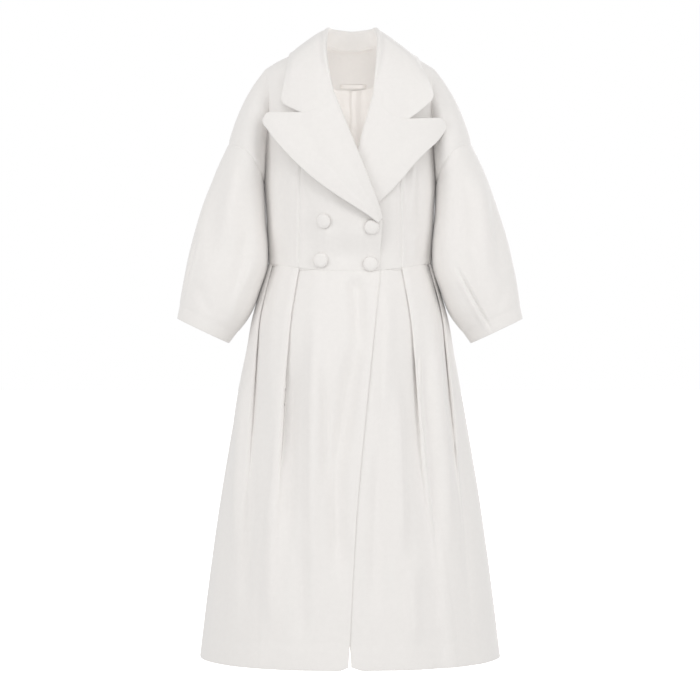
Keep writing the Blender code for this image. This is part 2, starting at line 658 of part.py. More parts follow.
def skirt_points(share, angles, depths, face, sign):
    """Points of one height of the skirt, from angles off the centre line of the front or back."""
    turn = np.radians(angles)
    half_width = along(SKIRT, "share", "half_width", share)
    reach = along(SKIRT, "share", face, share)
    across = np.sin(turn)
    out = np.sqrt(1 - np.abs(across) ** ROUND_ACROSS)
    facing = -1 if face == "front_depth" else 1
    inward = -unit(np.stack([across / half_width, out / reach], -1))
    x = half_width * across + depths * inward[:, 0]
    y = reach * out + depths * inward[:, 1]
    top = waist_height(x * WAIST_HALF / half_width) if facing < 0 else np.full_like(x, WAIST_SIDE)
    z = top * (1 - share) + HEM * share
    return np.stack([sign * x, facing * y, z], -1)


def skirt_front_grid(side, sign):
    rows = []
    for share in SKIRT_ROWS:
        half_width = float(along(SKIRT, "share", "half_width", share))
        edge_x = float(along(SKIRT_EDGE[side], "share", "x", share))
        end = math.degrees(math.asin(sign * edge_x / half_width))
        angles, depths = skirt_path(side, share, end)
        points = skirt_points(share, angles, depths, "front_depth", sign)
        points[:, 1] -= lap(side, points[:, 0], np.full(len(points), WAIST_SIDE))
        round_off = np.clip(1 - (angles - end) / CORNER_WIDTH, 0, 1) ** 2
        points[:, 2] += CORNER_RISE * round_off * ease(CORNER_START, 1.0, share)
        rows.append(points)
    return np.array(rows)


def build_skirt_front(side, sign):
    grid = skirt_front_grid(side, sign)
    normals = grid_normals(grid, SKIRT_CORE)
    normals[:, 0] = level_normals(normals[:, 0])
    cut = inset(grid, first_row=SEAM_GAP)
    cut[:, 0, 1] -= SEAM_GAP / 2
    add_wall("skirt_front_" + side, [(cut, normals)], SHELL)


def build_skirt_back():
    rows = []
    for share in SKIRT_ROWS:
        angles, depths = skirt_path("back", share, 0.0)
        left = skirt_points(share, angles, depths, "back_depth", 1)
        right = skirt_points(share, angles, depths, "back_depth", -1)
        rows.append(np.concatenate([left, right[-2::-1]]))
    grid = np.array(rows)
    normals = grid_normals(grid, SKIRT_CORE)
    for column in (0, -1):
        normals[:, column] = level_normals(normals[:, column])
    cut = inset(grid, first_row=SEAM_GAP)
    cut[:, 0, 1] += SEAM_GAP / 2
    cut[:, -1, 1] += SEAM_GAP / 2
    add_wall("skirt_back", [(cut, normals)], SHELL)


def lapel_grid(side):
    """The turned-back front: a tight fold along the roll line, then out to the free edge."""
    rows = np.array(LAPEL_ROWS, float)
    roll_x = straight(FRONT_EDGE[side], "row", "x", rows)
    roll_z = straight(FRONT_EDGE[side], "row", "height", rows)
    roll = chest(side, roll_x, roll_z)
    edge = {name: along(LAPEL_EDGE[side], "row", name, rows) for name in LapelRow._fields[1:]}
    inward = unit(np.stack([roll_x - edge["x"], np.zeros_like(rows), roll_z - edge["height"]], -1))
    out = np.array([0.0, -1.0, 0.0])
    width = np.hypot(roll_x - edge["x"], roll_z - edge["height"])
    radius = np.minimum(ROLL_RADIUS[side] + LAPEL_WALL, width / 5)[:, None]
    centre = roll + (radius - LAPEL_WALL) * out
    fold_normals = [math.sin(math.radians(turn)) * inward - math.cos(math.radians(turn)) * out
                    for turn in FOLD_TURNS]
    columns = [centre + radius * normal for normal in fold_normals]
    notch = FALL_STEPS[NOTCH_STEP]
    corner = np.array(COLLAR_TIP[side])
    for step in FALL_STEPS:
        x = roll_x + (edge["x"] - roll_x) * step
        z = roll_z + (edge["height"] - roll_z) * step
        share = min(step / notch, 1.0)
        gorge_x = roll_x[0] + (corner[0] - roll_x[0]) * min(step, notch)
        gorge_z = roll_z[0] + (corner[2] - roll_z[0]) * min(step, notch)
        gorge_z -= GORGE_SAG[side] * 4 * min(step, notch) * (1 - min(step, notch))
        past = (step - notch) / (1 - notch) if step > notch else 0.0
        x[0] = gorge_x + (edge["x"][0] - gorge_x) * past
        z[0] = gorge_z + (edge["height"][0] - gorge_z) * past
        fold = 2 * radius[:, 0] - LAPEL_WALL
        clear = np.maximum(lap(side, x, z), lap(side, roll_x, roll_z) * (1 - step))
        hump = LAPEL_HUMP[side] * math.sin(math.pi * share)
        lift = clear + fold * (1 - step) + edge["stand_off"] * step + hump
        y = -depth("front_depth", x, z, LAPEL_SPREAD * step) - lift
        columns.append(np.stack([x, y, z], -1))
    return np.stack(columns, 1), np.stack(fold_normals, 1)


def build_lapel(side):
    grid, fold_normals = lapel_grid(side)
    normals = grid_normals(grid, BEHIND)
    normals[:, :len(FOLD_TURNS)] = fold_normals
    add_wall("lapel_" + side, [(inset(grid, first_row=SEAM_GAP / 2), normals)], LAPEL_WALL)
    return grid[0], normals[0]


def fold_rows(lapel_row):
    """The lapel's top row resampled to the rows of the collar up to the notch."""
    fold = [np.interp(COLLAR_END_TURNS, FOLD_TURNS, lapel_row[:len(FOLD_TURNS), axis]) for axis in range(3)]
    gorge = lapel_row[len(FOLD_TURNS):len(FOLD_TURNS) + NOTCH_STEP + 1]
    return np.concatenate([np.transpose(fold), gorge])


def collar_end(side, lapel_row):
    """First or last collar section: along the gorge seam with the lapel, then its own free lower edge."""
    gorge = fold_rows(lapel_row)
    notch = FALL_STEPS[NOTCH_STEP]
    tip = np.array(COLLAR_TIP[side])
    roll = lapel_row[0]
    free = []
    for step in FALL_STEPS[NOTCH_STEP + 1:]:
        point = roll + (tip - roll) * step
        point[2] -= GORGE_SAG[side] * 4 * step * (1 - step)
        share = (step - notch) / (1 - notch)
        point[1] = gorge[-1, 1] * (1 - share) + tip[1] * share
        free.append(point)
    return np.concatenate([gorge, free])


def collar_section(neck, roll, edge, sag, bulge, lean):
    up = unit(np.array([0.0, -lean, 1.0]))
    out = unit(np.array([edge[0] - roll[0], edge[1] - roll[1], 0.0]))
    centre = roll - COLLAR_FOLD * up
    start = centre - COLLAR_FOLD * out
    points = [neck + (start - neck) * step for step in STAND_STEPS]
    for turn in COLLAR_TURNS:
        angle = math.radians(turn)
        points.append(centre + COLLAR_FOLD * (math.sin(angle) * up - math.cos(angle) * out))
    begin = points[-1]
    for step in FALL_STEPS:
        hump = 4 * step * (1 - step)
        fall = begin + (edge - begin) * step + bulge * hump * unit(out + up)
        points.append(fall - np.array([0.0, 0.0, sag * hump]))
    return np.array(points)


def collar_grid(lapels, tree):
    sections = [collar_end("right", lapels["right"][0])]
    sections += [collar_section(*(np.array(part) for part in station)) for station in COLLAR]
    sections.append(collar_end("left", lapels["left"][0]))
    sections = np.array(sections)
    places = np.linspace(0, len(sections) - 1, COLLAR_BETWEEN * (len(sections) - 1) + 1)
    slopes = np.gradient(sections, axis=0)
    left = np.minimum(places.astype(int), len(sections) - 2)
    t = (places - left)[:, None, None]
    rise = sections[left] * (1 + 2 * t) * (1 - t) ** 2 + sections[left + 1] * t * t * (3 - 2 * t)
    grid = rise + t * (1 - t) * (slopes[left] * (1 - t) - slopes[left + 1] * t)
    stand = grid[:, :STAND_ROWS]
    stand_normals = -grid_normals(grid, BODY_CORE)[:, :STAND_ROWS]
    fall = keep_clear(tree, grid[1:-1, FALL_ROW:], COLLAR_CLEAR)
    fall = keep_clear(cloth_tree([(stand + LAPEL_WALL * stand_normals, stand_normals)]), fall, STAND_CLEAR)
    grid[1:-1, FALL_ROW:] = fall
    return grid


def build_collar(lapels, tree):
    grid = collar_grid(lapels, tree)
    normals = grid_normals(grid, BODY_CORE)
    for end, side in ((0, "right"), (-1, "left")):
        shared = fold_rows(lapels[side][1])
        normals[end, :len(shared)] = unit(shared)
    stand = inset(grid[:, :STAND_ROWS], SEAM_GAP, SEAM_GAP, SEAM_GAP, SEAM_GAP / 2)
    fall = inset(grid[:, STAND_ROWS - 1:], SEAM_GAP, SEAM_GAP, SEAM_GAP / 2)
    add_wall("collar_stand", [(stand, normals[:, :STAND_ROWS])], LAPEL_WALL)
    add_wall("collar_fall", [(fall, normals[:, STAND_ROWS - 1:])], LAPEL_WALL)


def back_inside(x, z, distance):
    """Points inside the back, a distance from its outer face."""

    def outer(x, z):
        return np.stack([x, depth("back_depth", x, z), z], -1)

    across = outer(x + PROBE, z) - outer(x - PROBE, z)
    up = outer(x, z + PROBE) - outer(x, z - PROBE)
    inward = -unit(np.cross(up, across))
    return outer(x, z) + np.broadcast_to(distance, x.shape)[..., None] * inward


def inside_grid(across, bottom, top, rows, distance):
    share = np.linspace(0, 1, rows + 1)[:, None]
    x, z = np.broadcast_arrays(across, bottom + (top - bottom) * share)
    return back_inside(x, z, distance)


def facing_edge(across):
    return FACING_DROP + FACING_RISE * np.abs(across / FACING_HALF) ** 3


def lining_depth(x):
    """The lining lies close to the back but for a pleat let in beside the centre line."""
    return FACING_DEPTH + LINING_PLEAT * (ease(*PLEAT_RISE, x) - ease(*PLEAT_FALL, x))


def build_inside(tree):
    across = np.array(FACING_COLUMNS) * FACING_HALF
    top = np.where(np.abs(across) < NECK_HALF, neckline_height(across), shoulder_height(across)) - TOP_CLEAR
    facing = inside_grid(across, facing_edge(across), top, FACING_ROWS, FACING_DEPTH)
    facing = keep_clear(tree, facing, FACING_DEPTH, face=-1)
    add_wall("back_neck_facing", [(facing, grid_normals(facing, BEHIND))], LINING)

    wide = np.array([-LINING_HALF, *across, LINING_HALF])
    under = np.abs(wide) <= FACING_HALF
    top = np.where(under, facing_edge(wide) - SEAM_GAP, shoulder_height(wide) - LINING_CLEAR)
    lining = inside_grid(wide, WAIST_SIDE + TOP_CLEAR, top, LINING_ROWS, lining_depth(wide))
    lining = keep_clear(tree, lining, FACING_DEPTH, face=-1)
    look = {"colour": IVORY_LINING, "roughness": 0.45}
    add_wall("back_lining", [(lining, grid_normals(lining, BEHIND))], LINING, **look)

    share = np.linspace(0, 1, LOOP_COLUMNS + 1)
    across = LOOP["left"] + (LOOP["right"] - LOOP["left"]) * share
    depths = FACING_DEPTH + LINING + INSIDE_AIR + LOOP["stand"] * np.sin(math.pi * share)
    loop = inside_grid(across, LOOP["height"], LOOP["height"] + LOOP["width"], LOOP_ROWS, depths)
    add_wall("hanger_loop", [(loop, grid_normals(loop, BEHIND))], LINING)


def seat(tree, point, axis, right, top, radius):
    """How far along the axis the cloth under a round foot reaches, from a point near it."""
    reach = []
    for turn in np.linspace(0, 2 * math.pi, BUTTON_SEGMENTS + 1):
        foot = point + radius * (math.cos(turn) * right + math.sin(turn) * top)
        for share in SEAT_SHARES:
            start = point + (foot - point) * share + SEAT_ABOVE * axis
            spot, _, _, _ = tree.ray_cast(Vector(start), Vector(-axis))
            reach.append(np.dot(np.array(spot) - point, axis))
    return max(reach)


def build_button(button, tree):
    x = np.array([button.x])
    z = np.array([button.height])
    across = chest("right", x + BUTTON_PROBE, z) - chest("right", x - BUTTON_PROBE, z)
    up = chest("right", x, z + BUTTON_PROBE) - chest("right", x, z - BUTTON_PROBE)
    axis = unit(np.cross(across, up))[0]
    right = unit(across)[0]
    top = np.cross(axis, right)
    point = chest("right", x, z)[0]
    base = point + (seat(tree, point, axis, right, top, SHANK_RADIUS) + SEAM_GAP) * axis
    profile = [(SHANK_RADIUS, 0.0), (SHANK_RADIUS, SHANK_HEIGHT)]
    profile += [(BUTTON_RADIUS * dome.radius, SHANK_HEIGHT + BUTTON_HEIGHT * dome.height)
                for dome in BUTTON_DOME]
    turns = np.linspace(0, 2 * math.pi, BUTTON_SEGMENTS + 1)[:-1]
    points = [base + height * axis + radius * (math.cos(turn) * right + math.sin(turn) * top)
              for radius, height in profile for turn in turns]
    faces = []
    for ring in range(len(profile) - 1):
        for i in range(BUTTON_SEGMENTS):
            low = ring * BUTTON_SEGMENTS
            high = low + BUTTON_SEGMENTS
            j = (i + 1) % BUTTON_SEGMENTS
            faces.append((low + i, low + j, high + j, high + i))
    faces.append(tuple(range(BUTTON_SEGMENTS))[::-1])
    last = (len(profile) - 1) * BUTTON_SEGMENTS
    points.append(base + (SHANK_HEIGHT + BUTTON_HEIGHT) * axis)
    faces += [(last + i, last + (i + 1) % BUTTON_SEGMENTS, len(points) - 1) for i in range(BUTTON_SEGMENTS)]
    add_object(button.name, points, faces)


def build_coat():
    for thing in list(bpy.data.objects):
        bpy.data.objects.remove(thing)
    sides = {"right": -1, "left": 1}
    sleeve_normals = {sign: build_sleeve("sleeve_" + side, sign) for side, sign in sides.items()}
    bodice = build_back(sleeve_normals)
    lapels = {}
    for side, sign in sides.items():
        bodice += build_front(side, sign, sleeve_normals[sign])
        build_skirt_front(side, sign)
        lapels[side] = build_lapel(side)
    tree = cloth_tree(bodice)
    build_skirt_back()
    build_collar(lapels, tree)
    build_inside(tree)
    for button in BUTTONS:
        build_button(button, tree)


build_coat()
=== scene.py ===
import math

import bpy
import numpy as np
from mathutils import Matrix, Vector, noise
from mathutils.bvhtree import BVHTree


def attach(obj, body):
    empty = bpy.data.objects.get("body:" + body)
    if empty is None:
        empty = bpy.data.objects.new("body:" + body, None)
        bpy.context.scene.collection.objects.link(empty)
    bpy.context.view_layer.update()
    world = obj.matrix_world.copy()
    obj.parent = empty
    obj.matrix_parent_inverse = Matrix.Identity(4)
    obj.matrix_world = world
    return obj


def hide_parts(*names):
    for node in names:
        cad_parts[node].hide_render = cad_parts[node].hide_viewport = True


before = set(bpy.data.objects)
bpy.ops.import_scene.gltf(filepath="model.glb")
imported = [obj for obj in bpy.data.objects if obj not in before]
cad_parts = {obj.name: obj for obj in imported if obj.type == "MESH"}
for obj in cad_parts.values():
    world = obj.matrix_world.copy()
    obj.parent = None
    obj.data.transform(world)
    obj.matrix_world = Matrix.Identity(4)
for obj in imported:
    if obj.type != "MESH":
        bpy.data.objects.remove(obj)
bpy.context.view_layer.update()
scene = bpy.context.scene
sides = {"right": -1, "left": 1}  # the wearer's, so right is at -x
print("frame loaded,", len(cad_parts), "nodes")

cloth = {
    "wall": 0.0018,  # wool coating
    "rollWall": 0.0024,  # cloth, interlining and facing along a roll line
    "edgeWall": 0.0040,  # the same at a free edge, where the turnings fill it out
    "thicken": (0.15, 0.90),  # share of the way to the edge over which it fills out
    "liningWall": 0.0012,
    "seamGap": -0.0003,  # pressed seams touch
    "insetReach": 6,  # an edge is drawn in over so many times the distance
    "weldScale": 1e7,  # points are compared in steps of a ten-millionth of a metre
    "roundTurns": (30, 60, 90, 120, 150),  # rounding of a cut or turned edge, degrees
    "napLift": 0.0007,  # slow unevenness of soft cloth
    "napLength": 0.055,
    "napShift": 17.0,  # how far apart the noise of two pieces lies
    "creaseIn": (0.00, 0.30),  # share of a crease's length over which it deepens
    "creaseOut": (0.65, 1.00),  # and over which it fades again
}

stitch = {
    "thickness": 0.0005,
    "stand": 0.0002,  # above the cloth
    "below": 2.0,  # times that distance below the facing's edge
    "seed": 7,
    "tilt": 0.15,  # hand-sewn, so not all quite in line
    "sewn": {  # spacing and length; all are inside the coat, the face shows none
        "hem_stitches": (0.0120, 0.0042),
        "cuff_stitches": (0.0060, 0.0030),
        "lining_stitches": (0.0050, 0.0026),
        "loop_tacks": (0.0030, 0.0030),
    },
    "tackRows": 6,
    "tackHalf": 0.0015,
}
stitchLines = {name: [] for name in stitch["sewn"]}


def unit(vectors):
    return vectors / np.maximum(np.linalg.norm(vectors, axis=-1, keepdims=True), 1e-12)


def ease(start, end, at):  # 0 before start, 1 after end
    t = np.clip((at - start) / (end - start), 0, 1)
    return t * t * (3 - 2 * t)


def between(values, slopes, left, span, t):  # smooth step from one value to the next
    rise = values[left] * (1 + 2 * t) * (1 - t) ** 2 + values[left + 1] * t * t * (3 - 2 * t)
    return rise + span * t * (1 - t) * (slopes[left] * (1 - t) - slopes[left + 1] * t)


def curve(table, key, column, at):  # smooth value of one column of a table
    order = np.argsort(table[key])
    knots = np.array(table[key], float)[order]
    values = np.array(table[column], float)[order]
    slopes = np.gradient(values, knots)
    at = np.clip(at, knots[0], knots[-1])
    left = np.clip(np.searchsorted(knots, at, side="right") - 1, 0, len(knots) - 2)
    span = knots[left + 1] - knots[left]
    return between(values, slopes, left, span, (at - knots[left]) / span)


def refineLines(points, steps):  # smooth finer points along the first axis
    rises = np.diff(points, axis=0)
    gaps = np.maximum(np.linalg.norm(rises, axis=-1, keepdims=True), 1e-9)
    slopes = rises / gaps
    inner = (slopes[:-1] * gaps[1:] + slopes[1:] * gaps[:-1]) / (gaps[:-1] + gaps[1:])
    slopes = np.concatenate([slopes[:1], inner, slopes[-1:]])
    finer = []
    for i, count in enumerate(np.broadcast_to(steps, len(gaps))):
        finer.append(between(points, slopes, i, gaps[i], (np.arange(count) / count)[:, None, None]))
    return np.concatenate(finer + [points[-1:]])


def refineColumns(grid, steps):
    return refineLines(grid.swapaxes(0, 1), steps).swapaxes(0, 1)


def gridNormals(grid, awayFrom):  # unit normals that face away from a point
    def meanEdge(axis):
        edges = unit(np.diff(grid, axis=axis))
        first = np.take(edges, [0], axis)
        last = np.take(edges, [-1], axis)
        return np.concatenate([first, edges], axis) + np.concatenate([edges, last], axis)

    normals = unit(np.cross(meanEdge(0), meanEdge(1)))
    return normals if np.sum(normals * (grid - np.array(awayFrom))) > 0 else -normals


def levelNormals(normals):  # for seams in the plane y = 0, shared by front and back
    flat = normals.copy()
    flat[..., 1] = 0
    return unit(flat)


def edgeDistance(grid, axis, last=False):  # along the cloth from the first or last row or column
    if last:
        return np.flip(edgeDistance(np.flip(grid, axis), axis), axis)
    steps = np.linalg.norm(np.diff(grid, axis=axis), axis=-1)
    start = np.zeros_like(np.take(steps, [0], axis))
    return np.concatenate([start, np.cumsum(steps, axis)], axis)


def drawIn(lines, distance):  # the first axis runs away from an edge, which is drawn in by the distance
    if not distance:
        return lines
    run = edgeDistance(lines, 0)
    reach = cloth["insetReach"] * distance
    wanted = np.where(run < reach, distance + run * (1 - distance / reach), run)
    out = np.empty_like(lines)
    for i in range(lines.shape[1]):
        for axis in range(3):
            out[:, i, axis] = np.interp(wanted[:, i], run[:, i], lines[:, i, axis])
    return out


def inset(grid, firstRow=0.0, lastRow=0.0, firstColumn=0.0, lastColumn=0.0):  # edges drawn in
    out = drawIn(drawIn(grid, firstRow)[::-1], lastRow)[::-1]
    out = drawIn(drawIn(out.swapaxes(0, 1), firstColumn)[::-1], lastColumn)[::-1]
    return out.swapaxes(0, 1)


def uneven(points, seed):  # slow soft noise over the cloth
    places = points.reshape(-1, 3) / cloth["napLength"] + seed * cloth["napShift"]
    values = np.array([noise.noise(Vector(place)) for place in places])
    return cloth["napLift"] * values.reshape(points.shape[:-1])


def creaseLift(points, creases):
    # each crease: from x, z, to x, z, bend, width on each side of the line, depth (+ is a ridge)
    lift = np.zeros(points.shape[:-1])
    for x0, z0, x1, z1, bend, widthA, widthB, height in creases:
        chord = np.array([x1 - x0, z1 - z0])
        length = np.hypot(*chord)
        chord = chord / length
        across = points[..., 0] - x0
        up = points[..., 2] - z0
        t = (across * chord[0] + up * chord[1]) / length
        aside = across * chord[1] - up * chord[0] - bend * 4 * t * (1 - t)
        width = np.where(aside > 0, widthA, widthB)
        fade = ease(*cloth["creaseIn"], t) * (1 - ease(*cloth["creaseOut"], t))
        lift += height * np.exp(-(aside / width) ** 2) * fade
    return lift


def seamInset():
    return (cloth["wall"] + cloth["seamGap"]) / 2


def weldSheets(sheets, closed):  # sheets of (grid, offsets to the inside) that share points
    flat = np.concatenate([grid.reshape(-1, 3) for grid, _ in sheets])
    rounded = np.round(flat * cloth["weldScale"]).astype(np.int64)
    _, first, ids = np.unique(rounded, axis=0, return_index=True, return_inverse=True)
    ids = ids.reshape(-1)
    offsets = np.zeros((len(first), 3))
    counts = np.zeros((len(first), 1))
    np.add.at(offsets, ids, np.concatenate([offset.reshape(-1, 3) for _, offset in sheets]))
    np.add.at(counts, ids, 1)
    faces = []
    start = 0
    for grid, offset in sheets:
        rows, columns = grid.shape[:2]
        sheetIds = ids[start:start + rows * columns].reshape(rows, columns)
        start += rows * columns
        edges = np.cross(grid[:-1, 1:] - grid[:-1, :-1], grid[1:, :-1] - grid[:-1, :-1])
        turn = 1 if np.sum(edges * offset[:-1, :-1]) > 0 else -1
        if closed:
            sheetIds = np.concatenate([sheetIds, sheetIds[:, :1]], 1)
        corners = [sheetIds[:-1, :-1], sheetIds[:-1, 1:], sheetIds[1:, 1:], sheetIds[1:, :-1]]
        for corner in np.stack(corners, -1).reshape(-1, 4)[:, ::turn].tolist():
            face = tuple(dict.fromkeys(corner))
            if len(face) > 2:
                faces.append(face)
    return flat[first], offsets / counts, faces


def addPiece(name, points, faces, materials, materialIds=None):
    mesh = bpy.data.meshes.new(name)
    mesh.from_pydata(np.asarray(points).tolist(), [], faces)
    for material in materials:
        mesh.materials.append(material)
    if materialIds is not None:
        mesh.polygons.foreach_set("material_index", materialIds)
    mesh.polygons.foreach_set("use_smooth", [True] * len(mesh.polygons))
    mesh.validate()
    mesh.update()
    piece = bpy.data.objects.new(name, mesh)
    scene.collection.objects.link(piece)
    return piece


def sewPiece(name, sheets, materials, lined=None, closed=False):
    # outer faces, a rounded edge all round, and inner faces, lined where the rule says so
    points, offsets, faces = weldSheets(sheets, closed)
    count = len(points)
    edges = {(face[i - 1], face[i]) for face in faces for i in range(len(face))}
    border = sorted((a, b) for a, b in edges if (b, a) not in edges)
    walls = np.linalg.norm(offsets, axis=-1, keepdims=True)
    normals = offsets / np.maximum(walls, 1e-9)
    outward = np.zeros_like(points)
    for a, b in border:
        away = np.cross(points[b] - points[a], normals[a])
        away = away / max(np.linalg.norm(away), 1e-12)
        outward[a] += away
        outward[b] += away
    rim = sorted({corner for edge in border for corner in edge})
    place = {corner: i for i, corner in enumerate(rim)}
    outward = unit(outward[rim])
    middle = points[rim] - offsets[rim] / 2
    rings = []
    for turn in cloth["roundTurns"]:
        angle = math.radians(turn)
        rings.append(middle + walls[rim] / 2 * (math.cos(angle) * normals[rim] + math.sin(angle) * outward))
    allPoints = np.concatenate([points, points - offsets, *rings])
    ringStarts = [2 * count + i * len(rim) for i in range(len(rings))]
    rimFaces = []
    for a, b in border:
        fromA = [a] + [start + place[a] for start in ringStarts] + [a + count]
        fromB = [b] + [start + place[b] for start in ringStarts] + [b + count]
        for i in range(len(fromA) - 1):
            rimFaces.append((fromB[i], fromA[i], fromA[i + 1], fromB[i + 1]))
    inner = [tuple(corner + count for corner in face[::-1]) for face in faces]
    materialIds = [0] * (len(faces) + len(inner) + len(rimFaces))
    if lined is not None:
        for i, face in enumerate(faces):
            materialIds[len(faces) + i] = int(lined(points[list(face)].mean(0)))
    return addPiece(name + "_cloth", allPoints, faces + inner + rimFaces, materials, materialIds)


# Materials

woolLook = {
    "tones": ("#E8E5E2", "#EAE7E4"),
    "toneSpan": (0.30, 0.70),
    "patch": 0.009,  # size of the patches of nap
    "felt": 0.0042,
    "feltBump": 0.3,  # share of the fibres' bump
    "feltDepth": 0.0010,
    "fibreDepth": 0.0006,
}

satinLook = {
    "tones": ("#E8E4E0", "#EDEAE7"),
    "toneSpan": (0.0, 1.0),
    "blush": 0.03,
    "thread": 0.0013,  # threads are 0.1 mm, drawn wider to show
    "perScale": 6.283,  # bands in a metre of a wave of scale 1, nearly
    "ribBump": 0.10,
    "ribDepth": 0.0003,
}

threadLook = {"colour": "#EEE8E2", "twist": 0.0006, "layBump": 0.3, "layDepth": 0.0002}


def linear(hexColour):  # sRGB hex to linear rgba
    parts = [int(hexColour[i:i + 2], 16) / 255 for i in (1, 3, 5)]
    return [part / 12.92 if part <= 0.04045 else ((part + 0.055) / 1.055) ** 2.4 for part in parts] + [1.0]


def addNode(tree, kind, inputs, **settings):  # adds a node with its settings and links
    node = tree.nodes.new(kind)
    for key, value in settings.items():
        setattr(node, key, value)
    for socket, value in inputs.items():
        if isinstance(value, bpy.types.NodeSocket):
            tree.links.new(value, node.inputs[socket])
        else:
            node.inputs[socket].default_value = value
    return node


def newMaterial(name, **sockets):
    material = bpy.data.materials.new(name)
    material.use_nodes = True
    shader = material.node_tree.nodes["Principled BSDF"]
    for socket, value in sockets.items():
        shader.inputs[socket.replace("_", " ")].default_value = value
    return material, material.node_tree, shader


def addNoise(tree, place, size, detail, **inputs):  # the size is that of its patches, in metres
    settings = {"Vector": place, "Scale": 1 / size, "Detail": detail, **inputs}
    return addNode(tree, "ShaderNodeTexNoise", settings).outputs["Fac"]


def addTones(tree, shader, value, look):  # the base colour, between two close tones
    ramp = addNode(tree, "ShaderNodeValToRGB", {"Fac": value})
    for stop, tone, position in zip(ramp.color_ramp.elements, look["tones"], look["toneSpan"]):
        stop.position = position
        stop.color = linear(tone)
    tree.links.new(ramp.outputs["Color"], shader.inputs["Base Color"])


def addBump(tree, height, strength, depth, **under):
    inputs = {"Height": height, "Strength": strength, "Distance": depth, **under}
    return addNode(tree, "ShaderNodeBump", inputs).outputs["Normal"]


def woolCoating(name, fibreSize, bump):
    # fulled and brushed wool: a matt felted face with a soft bright nap and faint mottling, no weave to see
    material, tree, shader = newMaterial(name, Roughness=0.93, Sheen_Weight=0.5, Sheen_Roughness=0.5,
                                         Specular_IOR_Level=0.22, IOR=1.54)
    place = addNode(tree, "ShaderNodeTexCoord", {}).outputs["Object"]
    addTones(tree, shader, addNoise(tree, place, woolLook["patch"], 3.0, Roughness=0.6), woolLook)
    # a fibre is 0.02 mm, so clumps of them are drawn
    fibres = addNoise(tree, place, fibreSize, 5.0, Roughness=0.65, Distortion=0.6)
    felt = addNoise(tree, place, woolLook["felt"], 2.0, Roughness=0.5)
    softBump = addBump(tree, felt, bump * woolLook["feltBump"], woolLook["feltDepth"])
    fineBump = addBump(tree, fibres, bump, woolLook["fibreDepth"], Normal=softBump)
    tree.links.new(fineBump, shader.inputs["Normal"])
    return material


def satinLining():
    # acetate satin: a smooth face with a soft lustre along fine warp threads
    material, tree, shader = newMaterial("acetateSatin", Roughness=0.42, Sheen_Weight=0.12,
                                         Sheen_Roughness=0.3, Specular_IOR_Level=0.45, IOR=1.48)
    place = addNode(tree, "ShaderNodeTexCoord", {}).outputs["Object"]
    threads = addNode(tree, "ShaderNodeTexWave", {
        "Vector": place, "Scale": 1 / satinLook["thread"] / satinLook["perScale"],
        "Distortion": 0.8, "Detail": 2.0}, wave_type="BANDS", bands_direction="X")
    addTones(tree, shader, addNoise(tree, place, satinLook["blush"], 2.0), satinLook)
    ribs = addBump(tree, threads.outputs["Fac"], satinLook["ribBump"], satinLook["ribDepth"])
    tree.links.new(ribs, shader.inputs["Normal"])
    return material


def sewingThread():
    # spun polyester thread: pale, slightly glossy, with a fine twist
    material, tree, shader = newMaterial("polyesterThread", Roughness=0.55,
                                         Base_Color=linear(threadLook["colour"]))
    place = addNode(tree, "ShaderNodeTexCoord", {}).outputs["Object"]
    twist = addNoise(tree, place, threadLook["twist"], 2.0)
    lay = addBump(tree, twist, threadLook["layBump"], threadLook["layDepth"])
    tree.links.new(lay, shader.inputs["Normal"])
    return material


wool = woolCoating("brushedWoolCoating", 0.0011, 0.32)
buttonWool = woolCoating("shearedWoolButtonCover", 0.0008, 0.22)
satin = satinLining()
thread = sewingThread()
print("materials made")

# Bodice

